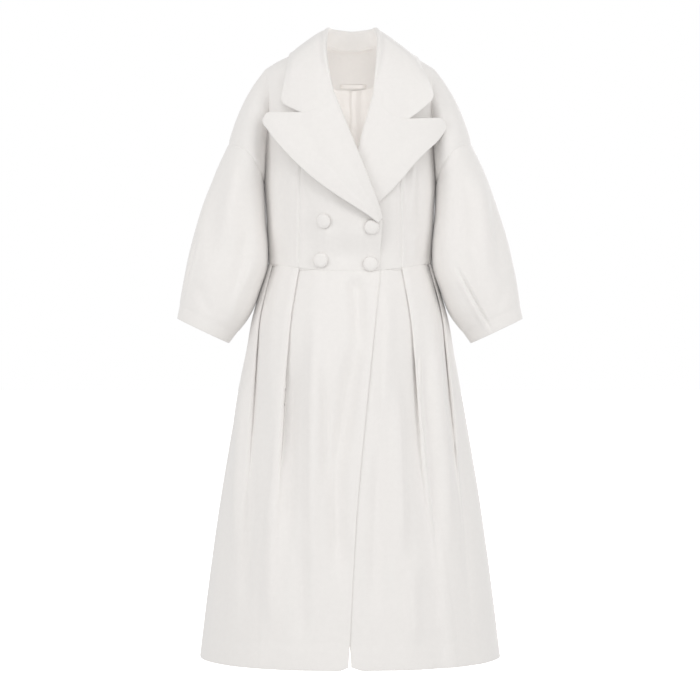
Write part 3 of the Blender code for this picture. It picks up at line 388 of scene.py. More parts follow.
bodice = {
    "waistSide": -0.409,
    "waistDip": 0.0185,  # how far the waist seam drops at the centre front
    "waistHalf": 0.155,
    "underarm": -0.258,
    "shoulderEnd": 0.160,
    "chestTop": -0.150,  # above this the body rounds over into the shoulders
    "neckHalf": 0.064,
    "backNeck": 0.003,
    "roundAcross": 2.4,
    "roundUp": {"front": 2.4, "back": 3.0},
    "sections": {
        "height": (-0.430, -0.405, -0.340, -0.258, -0.180, -0.100, 0.030),
        "halfWidth": (0.1550, 0.1550, 0.1580, 0.1625, 0.1655, 0.1680, 0.1700),
        "front": (0.1075, 0.1075, 0.1170, 0.1260, 0.1200, 0.1100, 0.1000),
        "back": (0.1000, 0.1000, 0.1040, 0.1110, 0.1170, 0.1150, 0.1100),
    },
    "shoulder": {
        "out": (0.000, 0.064, 0.090, 0.111, 0.136, 0.160),
        "height": (0.0200, 0.0130, -0.0010, -0.0125, -0.0245, -0.0395),
    },
    "armCrease": {
        "height": (-0.2580, -0.2000, -0.1400, -0.0900, -0.0395),
        "out": (0.1625, 0.1580, 0.1530, 0.1520, 0.1600),
    },
    "rows": 17,  # rows of the tables below: waist 0, underarm 7, shoulder 17
    "sideRows": 7,
    "frontEdge": {
        "right": {"row": (0, 4, 13, 15, 17), "x": (0.0555, 0.0617, -0.0340, -0.0575, -0.0640),
                  "height": (-0.4250, -0.3390, -0.0960, -0.0400, 0.0130)},
        "left": {"row": (0, 4, 13, 15, 17), "x": (-0.0400, -0.0220, 0.0454, 0.0625, 0.0640),
                 "height": (-0.4250, -0.3450, -0.1015, -0.0420, 0.0130)},
    },
    "princessSeam": {"row": (0, 7, 12, 17), "x": (0.0965, 0.0925, 0.0890, 0.1080),
                     "height": (-0.4190, -0.2580, -0.1350, -0.0110)},
    "princessRidge": {"right": 0.0015, "left": 0.0028},  # the side panel's pressed edge
    "princessPress": 0.007,  # how far from the seam it rises
    "princessGroove": {"right": 0.0009, "left": 0.0014},  # the stitched line draws the cloth in
    "grooveWidth": 0.0026,
    "dropBulge": 0.010,  # fullness between the arm crease and the armhole seam
    "lapRise": 0.0105,  # the right front rides over the left lapel
    "lapRiseWaist": 0.0016,
    "lapSink": 0.0007,  # and the left front lies a little deeper under it
    "lapAcross": {"right": (-0.090, -0.020), "left": (0.050, 0.090)},
    "lapFade": {"right": (-0.210, -0.130), "left": (-0.200, -0.120)},
    "lapLift": (-0.405, -0.350),
    "fine": 5,  # mesh rows for each row of the tables
    "centreColumns": 60,
    "sideColumns": 44,
    "dropColumns": 20,
    "backColumns": 52,
    "sideCrowding": 1.5,  # columns crowd towards the side seams
    "backCrowding": 1.25,
    "backLevels": 1.4,  # and the back's rows towards the shoulders
    "waistRows": 6,  # rows over which the fronts take up the waist seam
    "shoulderRows": 4,  # and the shoulder seam
    "holdRows": {"front": 2, "back": 3},  # creases fade over these rows below the shoulder seam
    "sideHold": 0.020,  # and this near to the side seams
    "backHold": (0.9, 1.0),  # the same on the back, as shares of its half width
    "frontInset": 0.0025,  # the front's edge lies inside the fold of the lapel
    "linedBeyond": 0.085,  # inside the fronts the lining starts this far from the centre line
    "dropIn": (0.00, 0.25),  # shares of the shoulder drop over which its creases set in
    "dropOut": (0.80, 1.00),  # and fade towards the armhole seam
    "dropTop": (0.00, 0.30),  # and below the shoulder seam
    "dropSeam": (0.00, 0.20),  # over which the groove of that seam sets in
    "creases": {
        "right": [
            (-0.024, -0.325, -0.012, -0.428, 0.000, 0.012, 0.014, -0.0030),
            (-0.044, -0.340, -0.040, -0.428, 0.000, 0.012, 0.010, 0.0022),
            (0.026, -0.330, 0.016, -0.428, 0.002, 0.012, 0.010, 0.0018),
            (-0.126, -0.210, -0.120, -0.390, 0.003, 0.010, 0.012, -0.0026),
            (-0.143, -0.220, -0.140, -0.400, 0.000, 0.008, 0.010, 0.0022),
            (-0.074, -0.270, -0.078, -0.420, 0.000, 0.010, 0.010, -0.0018),
            (-0.108, -0.120, -0.138, -0.040, 0.004, 0.012, 0.016, -0.0040),
        ],
        "left": [
            (0.106, -0.180, 0.110, -0.330, 0.002, 0.008, 0.010, -0.0044),
            (0.120, -0.190, 0.120, -0.330, 0.002, 0.008, 0.008, 0.0034),
            (0.138, -0.165, 0.130, -0.360, 0.003, 0.009, 0.010, -0.0048),
            (0.151, -0.230, 0.143, -0.405, 0.000, 0.008, 0.009, 0.0028),
            (0.116, -0.350, 0.124, -0.415, 0.000, 0.010, 0.008, 0.0022),
            (0.126, -0.110, 0.146, -0.040, 0.003, 0.010, 0.012, -0.0036),
        ],
        "back": [
            (-0.060, -0.120, -0.048, -0.400, 0.004, 0.016, 0.020, -0.0034),
            (0.066, -0.150, 0.054, -0.405, -0.003, 0.018, 0.014, -0.0032),
            (-0.118, -0.170, -0.104, -0.395, 0.005, 0.012, 0.016, -0.0042),
            (0.124, -0.140, 0.106, -0.400, -0.004, 0.014, 0.012, -0.0040),
            (0.006, -0.250, 0.000, -0.405, 0.000, 0.016, 0.018, 0.0022),
            (-0.140, -0.060, -0.080, -0.150, 0.006, 0.014, 0.012, -0.0030),
            (0.138, -0.070, 0.084, -0.140, -0.005, 0.012, 0.014, -0.0028),
        ],
    },
    "dropCreases": {
        "right": [
            (-0.176, -0.070, -0.196, -0.185, 0.004, 0.010, 0.013, 0.0018),
            (-0.164, -0.120, -0.172, -0.225, 0.002, 0.008, 0.010, -0.0018),
        ],
        "left": [
            (0.170, -0.080, 0.187, -0.190, -0.004, 0.009, 0.012, -0.0020),
            (0.182, -0.100, 0.206, -0.195, -0.003, 0.012, 0.010, 0.0016),
            (0.164, -0.170, 0.170, -0.235, 0.002, 0.007, 0.008, 0.0014),
        ],
    },
    "core": (0.0, 0.0, -0.200),
    "dropCore": (0.185, 0.0, -0.190),
}


def shoulderHeight(x):
    return curve(bodice["shoulder"], "out", "height", np.abs(x))


def necklineHeight(x):
    rise = shoulderHeight(bodice["neckHalf"]) - bodice["backNeck"]
    return bodice["backNeck"] + rise * (x / bodice["neckHalf"]) ** 2


def waistHeight(x):
    share = np.clip(np.abs(x), 0, bodice["waistHalf"]) / bodice["waistHalf"]
    return bodice["waistSide"] - bodice["waistDip"] * (1 - share ** 2)


def bodyDepth(face, x, z, spread=0.0):  # how far the cloth stands before or behind the side seams
    halfWidth = curve(bodice["sections"], "height", "halfWidth", z) + spread
    across = np.clip(np.abs(x) / halfWidth, 0, 1)
    up = np.clip((z - bodice["chestTop"]) / (shoulderHeight(x) - bodice["chestTop"]), 0, 1)
    reach = curve(bodice["sections"], "height", face, z)
    return reach * np.sqrt(1 - across ** bodice["roundAcross"]) * np.sqrt(1 - up ** bodice["roundUp"][face])


def lapLift(side, x, z):  # how far a front lies above or below the plain chest where the fronts overlap
    across = ease(*bodice["lapAcross"][side], x)
    fade = 1 - ease(*bodice["lapFade"][side], z)
    if side == "right":
        low = bodice["lapRiseWaist"]
        return (low + (bodice["lapRise"] - low) * ease(*bodice["lapLift"], z)) * across * fade
    return -bodice["lapSink"] * (1 - across) * fade


def chest(side, x, z):
    return np.stack([x, -bodyDepth("front", x, z) - lapLift(side, x, z), z], -1)


def sideRail(rows):  # side seam to the underarm, then the crease where the shoulder drop leaves the torso
    armRows = bodice["rows"] - bodice["sideRows"]
    top = shoulderHeight(bodice["shoulderEnd"])
    low = bodice["waistSide"] + (bodice["underarm"] - bodice["waistSide"]) * rows / bodice["sideRows"]
    turn = math.pi * np.clip((rows - bodice["sideRows"]) / armRows, 0, 1)
    high = (bodice["underarm"] + top) / 2 - (top - bodice["underarm"]) / 2 * np.cos(turn)
    below = rows < bodice["sideRows"]
    lowX = curve(bodice["sections"], "height", "halfWidth", low)
    highX = curve(bodice["armCrease"], "height", "out", high)
    return np.where(below, lowX, highX), np.where(below, low, high)


def tableRows():
    return np.linspace(0, bodice["rows"], bodice["rows"] * bodice["fine"] + 1)


def frontGrid(side):  # from the front edge and roll line to the side seam and arm crease
    sign = sides[side]
    rows = tableRows()
    edge = bodice["frontEdge"][side]
    seam = bodice["princessSeam"]
    sideX, sideZ = sideRail(rows)
    first = np.linspace(0, 1, bodice["centreColumns"] + 1)
    second = 1 - (1 - np.linspace(0, 1, bodice["sideColumns"] + 1)[1:]) ** bodice["sideCrowding"]

    def across(inner, middle, outer):
        centre = inner[:, None] * (1 - first) + middle[:, None] * first
        return np.concatenate([centre, middle[:, None] * (1 - second) + outer[:, None] * second], 1)

    seamX = sign * curve(seam, "row", "x", rows)
    x = across(np.interp(rows, edge["row"], edge["x"]), seamX, sign * sideX)
    z = across(np.interp(rows, edge["row"], edge["height"]), curve(seam, "row", "height", rows), sideZ)
    nearWaist = np.clip(1 - rows / bodice["waistRows"], 0, 1)[:, None]
    nearShoulder = np.clip(1 - (bodice["rows"] - rows) / bodice["shoulderRows"], 0, 1)[:, None]
    z = z + nearWaist * (waistHeight(x[0]) - z[0]) + nearShoulder * (shoulderHeight(x[-1]) - z[-1])
    return chest(side, x, z)


# Sleeves

sleeve = {
    "rings": {
        "along": (0.00, 0.20, 0.45, 0.55, 0.70, 0.87, 1.00),
        "outerX": (0.2310, 0.2620, 0.2930, 0.3022, 0.3130, 0.3210, 0.3260),
        "outerZ": (-0.183, -0.252, -0.345, -0.379, -0.428, -0.478, -0.513),
        "innerX": (0.1625, 0.1598, 0.1545, 0.1558, 0.1682, 0.1916, 0.2290),
        "innerZ": (-0.258, -0.318, -0.390, -0.416, -0.455, -0.512, -0.559),
        "halfDepth": (0.0780, 0.0800, 0.0810, 0.0802, 0.0780, 0.0680, 0.0530),
        "centreY": (0.000, 0.000, -0.004, -0.0056, -0.008, -0.012, -0.016),
        "bow": (0.016, 0.010, 0.004, 0.002, 0.000, 0.000, 0.000),
        "flat": (0.00, 0.18, 0.26, 0.26, 0.26, 0.18, 0.10),  # how far the side by the torso is pressed flat
        "forward": (0.000, 0.008, 0.013, 0.013, 0.012, 0.006, 0.000),  # and laid towards the front
    },
    "flatFrom": (0.0, 0.9),  # share of the half width over which both set in
    "rows": 110,
    "turnsHalf": 100,  # twice the bodice's mesh rows round the armhole
    "hemTurn": 0.024,  # depth of the turned-up hem, which shows as a soft line
    "hemGroove": 0.0007,
    "hemWidth": 0.005,
    "cuffSwell": 0.0008,  # the turned edge is a little fuller
    "cuffReach": 0.018,
    "seamGroove": 0.0013,  # the armhole seam draws the cloth in on both sides
    "seamReach": 0.0035,
    "seamHold": 0.012,  # creases fade this near to it
    "faceGain": 2.5,  # how soon a crease sets in as the cloth turns to the front or back
    "linedAbove": 0.045,  # the lining starts this far inside the cuff
    "axisFrom": 0.85,  # share of the way along from which the cuff's direction is taken
    "creases": {
        "right": [  # front face: elbow dart, then soft drape from the drop seam
            (-0.286, -0.355, -0.317, -0.482, 0.000, 0.0030, 0.0030, -0.0056),
            (-0.279, -0.355, -0.310, -0.482, 0.000, 0.0070, 0.0050, 0.0028),
            (-0.230, -0.200, -0.262, -0.430, 0.010, 0.014, 0.018, -0.0050),
            (-0.205, -0.215, -0.222, -0.400, 0.006, 0.016, 0.016, 0.0042),
            (-0.186, -0.330, -0.212, -0.500, 0.004, 0.010, 0.014, -0.0044),
            (-0.172, -0.395, -0.226, -0.530, 0.006, 0.008, 0.010, 0.0036),
            (-0.288, -0.440, -0.250, -0.520, 0.004, 0.010, 0.012, -0.0022),
            (-0.262, -0.250, -0.286, -0.380, 0.004, 0.012, 0.012, 0.0030),
        ],
        "left": [
            (0.192, -0.408, 0.270, -0.548, 0.000, 0.0030, 0.0030, -0.0052),
            (0.186, -0.412, 0.264, -0.550, 0.000, 0.0060, 0.0070, 0.0028),
            (0.262, -0.250, 0.284, -0.470, -0.008, 0.012, 0.016, -0.0060),
            (0.236, -0.225, 0.250, -0.460, -0.006, 0.016, 0.014, 0.0050),
            (0.202, -0.230, 0.206, -0.410, -0.004, 0.012, 0.014, -0.0050),
            (0.214, -0.360, 0.250, -0.500, -0.004, 0.010, 0.010, 0.0030),
            (0.306, -0.420, 0.270, -0.505, -0.003, 0.012, 0.010, -0.0024),
        ],
    },
    "backCreases": [  # elbow folds, mirrored on the other sleeve with a shift
        (0.215, -0.240, 0.246, -0.430, 0.006, 0.014, 0.018, -0.0028),
        (0.262, -0.270, 0.288, -0.450, 0.004, 0.012, 0.014, 0.0022),
        (0.178, -0.400, 0.262, -0.455, 0.006, 0.012, 0.012, -0.0026),
        (0.182, -0.440, 0.250, -0.500, 0.004, 0.010, 0.010, 0.0018),
        (0.290, -0.380, 0.262, -0.520, 0.004, 0.012, 0.012, -0.0016),
    ],
    "backShift": {"right": -0.012, "left": 0.006},
}


def sleeveRing(sign, share, turns):  # turn 0 at the outer edge, a quarter turn at the front
    share = np.asarray(share, float)[:, None]
    part = {column: curve(sleeve["rings"], "along", column, share) for column in sleeve["rings"]}
    halfX = (part["outerX"] - part["innerX"]) / 2
    halfZ = (part["outerZ"] - part["innerZ"]) / 2
    length = np.hypot(halfX, halfZ)
    lift = part["bow"] * np.sin(turns) ** 2
    x = (part["outerX"] + part["innerX"]) / 2 + halfX * np.cos(turns) - lift * halfZ / length
    z = (part["outerZ"] + part["innerZ"]) / 2 + halfZ * np.cos(turns) + lift * halfX / length
    near = ease(*sleeve["flatFrom"], -np.cos(turns))
    bulge = np.sign(np.sin(turns)) * np.abs(np.sin(turns)) ** (1 - part["flat"] * near)
    y = part["centreY"] - part["halfDepth"] * bulge - part["forward"] * near
    return np.stack([sign * x, y, z], -1)


def ringNormals(grid):
    ringed = np.concatenate([grid[:, -1:], grid, grid[:, :1]], 1)
    return gridNormals(ringed, ringed.mean((0, 1)))[:, 1:-1]


def makeSleeve(side):
    sign = sides[side]
    count = 2 * sleeve["turnsHalf"]
    turns = np.arange(count) * 2 * math.pi / count
    share = np.linspace(0, 1, sleeve["rows"] + 1)
    grid = sleeveRing(sign, share, turns)
    normals = ringNormals(grid)
    seamNormals = normals[0]
    fromCuff = edgeDistance(grid, 0, last=True)
    fromSeam = edgeDistance(grid, 0)
    front = np.clip(-normals[..., 1] * sleeve["faceGain"], 0, 1)
    back = np.clip(normals[..., 1] * sleeve["faceGain"], 0, 1)
    shift = sleeve["backShift"][side]
    mirrored = [(sign * x0, z0 + shift, sign * x1, z1 + shift, sign * bend, *widths)
                for x0, z0, x1, z1, bend, *widths in sleeve["backCreases"]]
    lift = front * creaseLift(grid, sleeve["creases"][side]) + back * creaseLift(grid, mirrored)
    lift += uneven(grid, 1 + sign)
    lift *= ease(0.0, sleeve["seamHold"], fromSeam)
    lift -= sleeve["seamGroove"] * np.exp(-(fromSeam / sleeve["seamReach"]) ** 2)
    lift -= sleeve["hemGroove"] * np.exp(-((fromCuff - sleeve["hemTurn"]) / sleeve["hemWidth"]) ** 2)
    lift += sleeve["cuffSwell"] * (1 - ease(0.0, sleeve["cuffReach"], fromCuff))
    grid = grid + lift[..., None] * normals
    normals = ringNormals(grid)
    sheet = inset(grid, firstRow=cloth["seamGap"] + seamInset())
    row = np.argmin(np.abs(fromCuff.mean(1) - sleeve["linedAbove"]))
    line = sheet[row] - (cloth["wall"] + stitch["stand"]) * normals[row]
    stitchLines["cuff_stitches"].append(np.concatenate([line, line[:1]]))
    cuff = sleeveRing(sign, [1.0], turns)[0].mean(0)
    axis = unit(cuff - sleeveRing(sign, [sleeve["axisFrom"]], turns)[0].mean(0))

    def lined(point):
        return np.dot(cuff - point, axis) > sleeve["linedAbove"]

    piece = sewPiece("sleeve_" + side, [(sheet, cloth["wall"] * normals)], [wool, satin], lined, closed=True)
    return piece, seamNormals[::2]


def dropSheet(side, faceSign, crease, sleeveNormals):  # cloth beyond the arm crease, out to the armhole seam
    sign = sides[side]
    rows = len(crease)
    turns = np.linspace(math.pi, 0, rows)
    seam = sleeveRing(sign, [0.0], faceSign * turns)[0]
    centre = sleeveRing(sign, [0.0], np.array([0, math.pi])).mean(1)
    outward = unit(seam - centre)
    share = np.linspace(0, 1, bodice["dropColumns"] + 1)
    fullness = bodice["dropBulge"] * np.sin(np.linspace(0, math.pi / 2, rows))
    flat = crease[:, None] * (1 - share)[:, None] + seam[:, None] * share[:, None]
    grid = flat + (fullness[:, None] * 4 * share * (1 - share))[..., None] * outward[:, None]
    core = np.array(bodice["dropCore"]) * (sign, 1, 1)
    normals = gridNormals(grid, core)
    if faceSign > 0:
        hold = ease(*bodice["dropIn"], share) * (1 - ease(*bodice["dropOut"], share))
        hold = hold * ease(*bodice["dropTop"], np.linspace(1, 0, rows))[:, None]
        grid = grid + (hold * creaseLift(grid, bodice["dropCreases"][side]))[..., None] * normals
        normals = gridNormals(grid, core)
    toSeam = edgeDistance(grid, 1, last=True)
    order = np.arange(rows - 1, -1, -1)
    normals[:, -1] = sleeveNormals[order if faceSign > 0 else -order % len(sleeveNormals)]
    normals[-1] = levelNormals(normals[-1])
    normals[0] = (0, 0, -1)
    drawn = sleeve["seamGroove"] * np.exp(-(toSeam / sleeve["seamReach"]) ** 2)
    grid = grid - (drawn * ease(*bodice["dropSeam"], share))[..., None] * normals
    return inset(grid, lastRow=seamInset(), lastColumn=seamInset()), normals


def makeFront(side, sleeveNormals):
    grid = frontGrid(side)
    normals = gridNormals(grid, bodice["core"])
    split = bodice["centreColumns"]
    armRow = bodice["sideRows"] * bodice["fine"]
    rows = tableRows()
    hold = (ease(0, 1, rows) * np.clip((bodice["rows"] - rows) / bodice["holdRows"]["front"], 0, 1))[:, None]
    lift = creaseLift(grid, bodice["creases"][side]) + uneven(grid, 5)
    fromSeam = edgeDistance(grid[:, split:], 1)
    toSeam = edgeDistance(grid[:, :split + 1], 1, last=True)
    ridge = bodice["princessRidge"][side]
    lift[:, split:] *= ease(0.0, bodice["sideHold"], edgeDistance(grid[:, split:], 1, last=True))
    groove = bodice["princessGroove"][side]
    lift[:, split:] += ridge * np.exp(-(fromSeam / bodice["princessPress"]) ** 2)
    lift[:, split:] -= (ridge + groove) * np.exp(-(fromSeam / bodice["grooveWidth"]) ** 2)
    lift[:, :split] -= groove * np.exp(-(toSeam[:, :-1] / bodice["grooveWidth"]) ** 2)
    grid = grid + (hold * lift)[..., None] * normals
    normals = gridNormals(grid, bodice["core"])
    normals[-1] = levelNormals(normals[-1])
    normals[:armRow, -1] = levelNormals(normals[:armRow, -1])
    half = seamInset()
    centre = inset(grid[:, :split + 1], half, half, bodice["frontInset"], half)
    centreNormals = normals[:, :split + 1]
    panel = inset(grid[:, split:], half, half, half)
    panel[:armRow, -1, 1] -= half
    panelNormals = normals[:, split:].copy()
    panelNormals[armRow, -1] = (0, 0, -1)
    drop, dropNormals = dropSheet(side, 1, panel[armRow:, -1], sleeveNormals)
    drop[:, 0] = panel[armRow:, -1]
    wall = cloth["wall"]

    def lined(point):
        return abs(point[0]) > bodice["linedBeyond"]

    materials = [wool, satin]
    centrePiece = sewPiece("front_centre_" + side, [(centre, wall * centreNormals)], materials, lined)
    sidePiece = sewPiece("front_side_" + side, [(panel, wall * panelNormals), (drop, wall * dropNormals)],
                         materials, lined)
    return [centrePiece, sidePiece], [(centre, centreNormals), (panel, panelNormals), (drop, dropNormals)]


def makeBack(sleeveNormals):
    rows = tableRows()
    sideX, sideZ = sideRail(rows)
    end = bodice["shoulderEnd"]
    half = np.linspace(0, 1, bodice["backColumns"] + 1)
    topX = end * (1 - (1 - half) ** bodice["backCrowding"])
    share = topX / end
    topZ = np.where(topX < bodice["neckHalf"], necklineHeight(topX), shoulderHeight(topX))
    level = 1 - (1 - rows / bodice["rows"])[:, None] ** bodice["backLevels"]
    centreZ = bodice["waistSide"] + level * (topZ - bodice["waistSide"])
    edgeZ = sideZ[:, None] + level * (topZ - topZ[-1])
    x = sideX[:, None] * share
    z = centreZ * (1 - share ** 2) + edgeZ * share ** 2
    x = np.concatenate([-x[:, :0:-1], x], 1)
    z = np.concatenate([z[:, :0:-1], z], 1)
    grid = np.stack([x, bodyDepth("back", x, z), z], -1)
    normals = gridNormals(grid, bodice["core"])
    hold = ease(0, 1, rows) * np.clip((bodice["rows"] - rows) / bodice["holdRows"]["back"], 0, 1)
    edgeHold = 1 - ease(*bodice["backHold"], np.abs(x) / sideX[:, None])
    lift = creaseLift(grid, bodice["creases"]["back"]) + uneven(grid, 9)
    grid = grid + (hold[:, None] * edgeHold * lift)[..., None] * normals
    normals = gridNormals(grid, bodice["core"])
    shoulder = np.abs(grid[-1, :, 0]) >= bodice["neckHalf"]
    normals[-1, shoulder] = levelNormals(normals[-1, shoulder])
    armRow = bodice["sideRows"] * bodice["fine"]
    panel = inset(grid, firstRow=seamInset(), lastRow=seamInset())
    sheets = []
    for side, column in (("right", 0), ("left", -1)):
        normals[:armRow, column] = levelNormals(normals[:armRow, column])
        normals[armRow, column] = (0, 0, -1)
        panel[:armRow, column, 1] += seamInset()
        crease = panel[armRow:, column]
        drop, dropNormals = dropSheet(side, -1, crease, sleeveNormals[side])
        drop[:, 0] = crease
        sheets.append((drop, dropNormals))
    sheets.insert(0, (panel, normals))
    walls = [(grid, cloth["wall"] * normal) for grid, normal in sheets]
    return sewPiece("back_bodice", walls, [wool, satin], lambda point: True), sheets


# Skirt

skirt = {
    "hem": -1.152,
    "flare": {
        "share": (0.000, 0.069, 0.143, 0.209, 0.401, 0.594, 0.823, 1.000),
        "halfWidth": (0.1550, 0.1710, 0.1865, 0.1950, 0.2210, 0.2450, 0.2690, 0.2850),
        "front": (0.1075, 0.1210, 0.1330, 0.1420, 0.1590, 0.1740, 0.1900, 0.2010),
        "back": (0.1000, 0.1150, 0.1300, 0.1390, 0.1580, 0.1750, 0.1920, 0.2030),
    },
    "rows": 110,
    # knife pleats whose folds face the centre: angle at waist, middle and hem, lap in degrees, depth, what
    # is left of that depth at the hem
    "pleats": {
        "right": [((73, 56, 47), 8, 0.012, 0.1), ((38, 35, 33), 9, 0.014, 0.1)],
        "left": [((77, 62, 57), 8, 0.012, 0.4), ((39, 37, 41), 9, 0.018, 0.8)],
        "back": [((74, 60, 54), 8, 0.012, 0.4), ((38, 36, 36), 9, 0.015, 0.5)],
    },
    "fold": {  # points round one pleat, folded flat at the waist and opened to a wave below
        "lap": (0.0, 0.0, 0.0, 0.0, 1.0, 1.0, 1.0, 0.5, 0.0),
        "shutAngle": (1.2, 0.0, 0.0, 1.2, 0.0, 0.8, 0.0, 0.0, -1.5),
        "shutLayer": (0.00, 0.22, 0.66, 0.88, 0.88, 0.94, 1.00, 1.00, 1.00),
        "openAngle": (2.5, 0.0, -1.2, -2.1, -3.0, -4.0, -5.2, -6.6, -8.6),
        "openDrop": (0.00, 0.08, 0.30, 0.55, 0.80, 0.95, 1.00, 0.97, 0.85),
    },
    "stack": 0.0047,  # two walls and the air between
    "opening": {
        "share": (0.00, 0.12, 0.30, 0.50, 0.75, 1.00),
        "opened": (0.00, 0.15, 0.60, 0.90, 1.00, 1.00),
        "depth": (0.40, 0.80, 1.00, 0.90, 0.55, 0.30),
    },
    "fading": (0.30, 0.85),
    "panelReturn": 16,  # degrees over which a panel rises back from under a pleat
    "panelSteps": 4,
    "centreSteps": 8,
    "panelFine": 6,  # mesh columns for each step
    "foldFine": 4,
    "edge": {
        "right": {"share": (0.0, 0.25, 0.6, 1.0), "x": (0.0555, 0.0365, 0.0125, -0.0036)},
        "left": {"share": (0.0, 0.4, 0.75, 1.0), "x": (-0.0400, -0.0270, -0.0080, 0.0030)},
    },
    "lapEase": 0.035,  # beyond the top panel's edge the under panel takes up its own folds
    "cornerRise": 0.006,  # the front corners of the hem are rounded off
    "cornerWidth": 3.5,
    "cornerShare": (0.9, 1.0),
    "swing": (0.25, 0.65),  # the long folds swell by a sine: half turns at the waist, and added by the hem
    "rowCrowding": 1.12,
    "sideHold": 0.020,  # creases fade this near to the side seams
    "waistHold": 0.030,  # and to the waist seam
    "unevenness": 1.4,
    "waves": {  # soft long folds: angle, width, depth
        "right": [(3, 9, 0.007), (20, 8, -0.004), (62, 7, 0.004)],
        "left": [(-3, 9, 0.007), (13, 6, 0.004), (26, 8, -0.005), (70, 7, 0.004)],
        "back": [(0, 10, 0.008), (18, 8, -0.006), (68, 8, 0.005)],
    },
    "creaseDepth": 1.35,
    "creases": {
        "right": [
            (0.008, -0.415, 0.019, -0.580, 0.000, 0.014, 0.016, -0.0090),
            (0.020, -0.520, -0.028, -0.820, 0.002, 0.017, 0.018, -0.0110),
            (-0.026, -0.730, -0.020, -1.010, 0.000, 0.016, 0.016, -0.0085),
            (-0.062, -0.470, -0.068, -1.020, 0.003, 0.012, 0.013, 0.0060),
            (-0.046, -0.600, -0.044, -0.840, 0.000, 0.008, 0.009, -0.0054),
            (-0.104, -0.560, -0.116, -0.960, 0.000, 0.012, 0.014, -0.0060),
            (-0.138, -0.800, -0.146, -1.100, 0.000, 0.016, 0.014, 0.0051),
            (-0.174, -0.780, -0.196, -1.080, 0.003, 0.012, 0.014, -0.0051),
            (-0.190, -0.560, -0.214, -0.980, 0.004, 0.012, 0.010, 0.0054),
            (-0.090, -0.900, -0.088, -1.130, 0.000, 0.014, 0.014, -0.0042),
        ],
        "left": [
            (0.060, -0.430, 0.058, -0.760, 0.000, 0.012, 0.016, 0.0051),
            (0.082, -0.600, 0.094, -1.000, -0.003, 0.014, 0.012, 0.0060),
            (0.052, -0.720, 0.044, -1.080, 0.000, 0.014, 0.016, -0.0051),
            (0.126, -0.520, 0.168, -1.060, -0.004, 0.012, 0.014, -0.0075),
            (0.150, -0.480, 0.186, -0.960, -0.003, 0.012, 0.010, 0.0066),
            (0.200, -0.700, 0.224, -1.060, -0.004, 0.010, 0.014, -0.0054),
            (0.112, -0.940, 0.118, -1.130, 0.000, 0.014, 0.014, 0.0042),
        ],
        "back": [
            (-0.050, -0.480, -0.066, -0.940, 0.006, 0.012, 0.016, -0.0066),
            (0.058, -0.520, 0.082, -1.010, -0.005, 0.014, 0.012, 0.0063),
            (-0.130, -0.600, -0.170, -1.060, 0.006, 0.012, 0.014, 0.0063),
            (0.140, -0.560, 0.172, -1.020, -0.006, 0.014, 0.012, -0.0069),
            (0.010, -0.620, 0.016, -1.090, 0.004, 0.016, 0.014, -0.0060),
            (0.030, -0.440, 0.036, -0.760, 0.000, 0.013, 0.013, 0.0051),
            (-0.092, -0.760, -0.106, -1.110, 0.003, 0.014, 0.012, -0.0057),
            (0.210, -0.700, 0.232, -1.080, -0.004, 0.012, 0.012, 0.0054),
            (-0.214, -0.680, -0.238, -1.060, 0.004, 0.012, 0.010, -0.0054),
        ],
    },
    "turningDepth": 0.0020,  # the waist seam's allowance lies this far inside
    "turningRises": (0.0035, 0.0, -0.0028),  # its rows, above and below the seam
    "turningColumns": 80,
    "hemTurn": 0.045,
    "hemGroove": 0.0006,
    "hemWidth": 0.006,
    "facing": 0.075,  # width of the wool facing inside the front edge
    "core": (0.0, 0.0, -0.800),
}


def pleatPath(pleat, share):
    angles, lap, depth, left = pleat
    depth = depth * (1 - (1 - left) * ease(*skirt["fading"], share))
    opened = curve(skirt["opening"], "share", "opened", share)
    fullness = curve(skirt["opening"], "share", "depth", share) * depth
    at = np.interp(share, (0.0, 0.5, 1.0), angles)
    fold = {key: np.array(values) for key, values in skirt["fold"].items()}
    path = at + (1 - opened) * (fold["lap"] * lap + fold["shutAngle"]) + opened * fold["openAngle"]
    return path, (1 - opened) * fold["shutLayer"] * skirt["stack"] + opened * fold["openDrop"] * fullness


def panelPath(start, stop, steps, trail):  # flat cloth from one pleat on to the next
    angles = start + (stop - start) * np.arange(1, steps) / steps
    return angles, trail * (1 - ease(0, skirt["panelReturn"], start - angles))


def skirtPath(key, share, end):  # angles and depths from the side seam to the centre
    angles = np.array([90.0])
    depths = np.array([0.0])
    for pleat in skirt["pleats"][key]:
        foldAngles, foldDepths = pleatPath(pleat, share)
        flatAngles, flatDepths = panelPath(angles[-1], foldAngles[0], skirt["panelSteps"], depths[-1])
        angles = np.concatenate([angles, flatAngles, foldAngles])
        depths = np.concatenate([depths, flatDepths, foldDepths])
    flatAngles, flatDepths = panelPath(angles[-1], end, skirt["centreSteps"], depths[-1])
    angles = np.concatenate([angles, flatAngles, [end]])
    depths = np.concatenate([depths, flatDepths, [0.0]])
    first, more = skirt["swing"]
    swing = share * math.sin(math.pi * (first + more * share))
    for angle, width, depth in skirt["waves"][key]:
        depths = depths + swing * depth * np.exp(-((angles - angle) / width) ** 2)
    return angles, depths


def columnSteps(key):
    panel = [skirt["panelFine"]] * skirt["panelSteps"]
    fold = [skirt["foldFine"]] * (len(skirt["fold"]["lap"]) - 1)
    return (panel + fold) * len(skirt["pleats"][key]) + [skirt["panelFine"]] * skirt["centreSteps"]


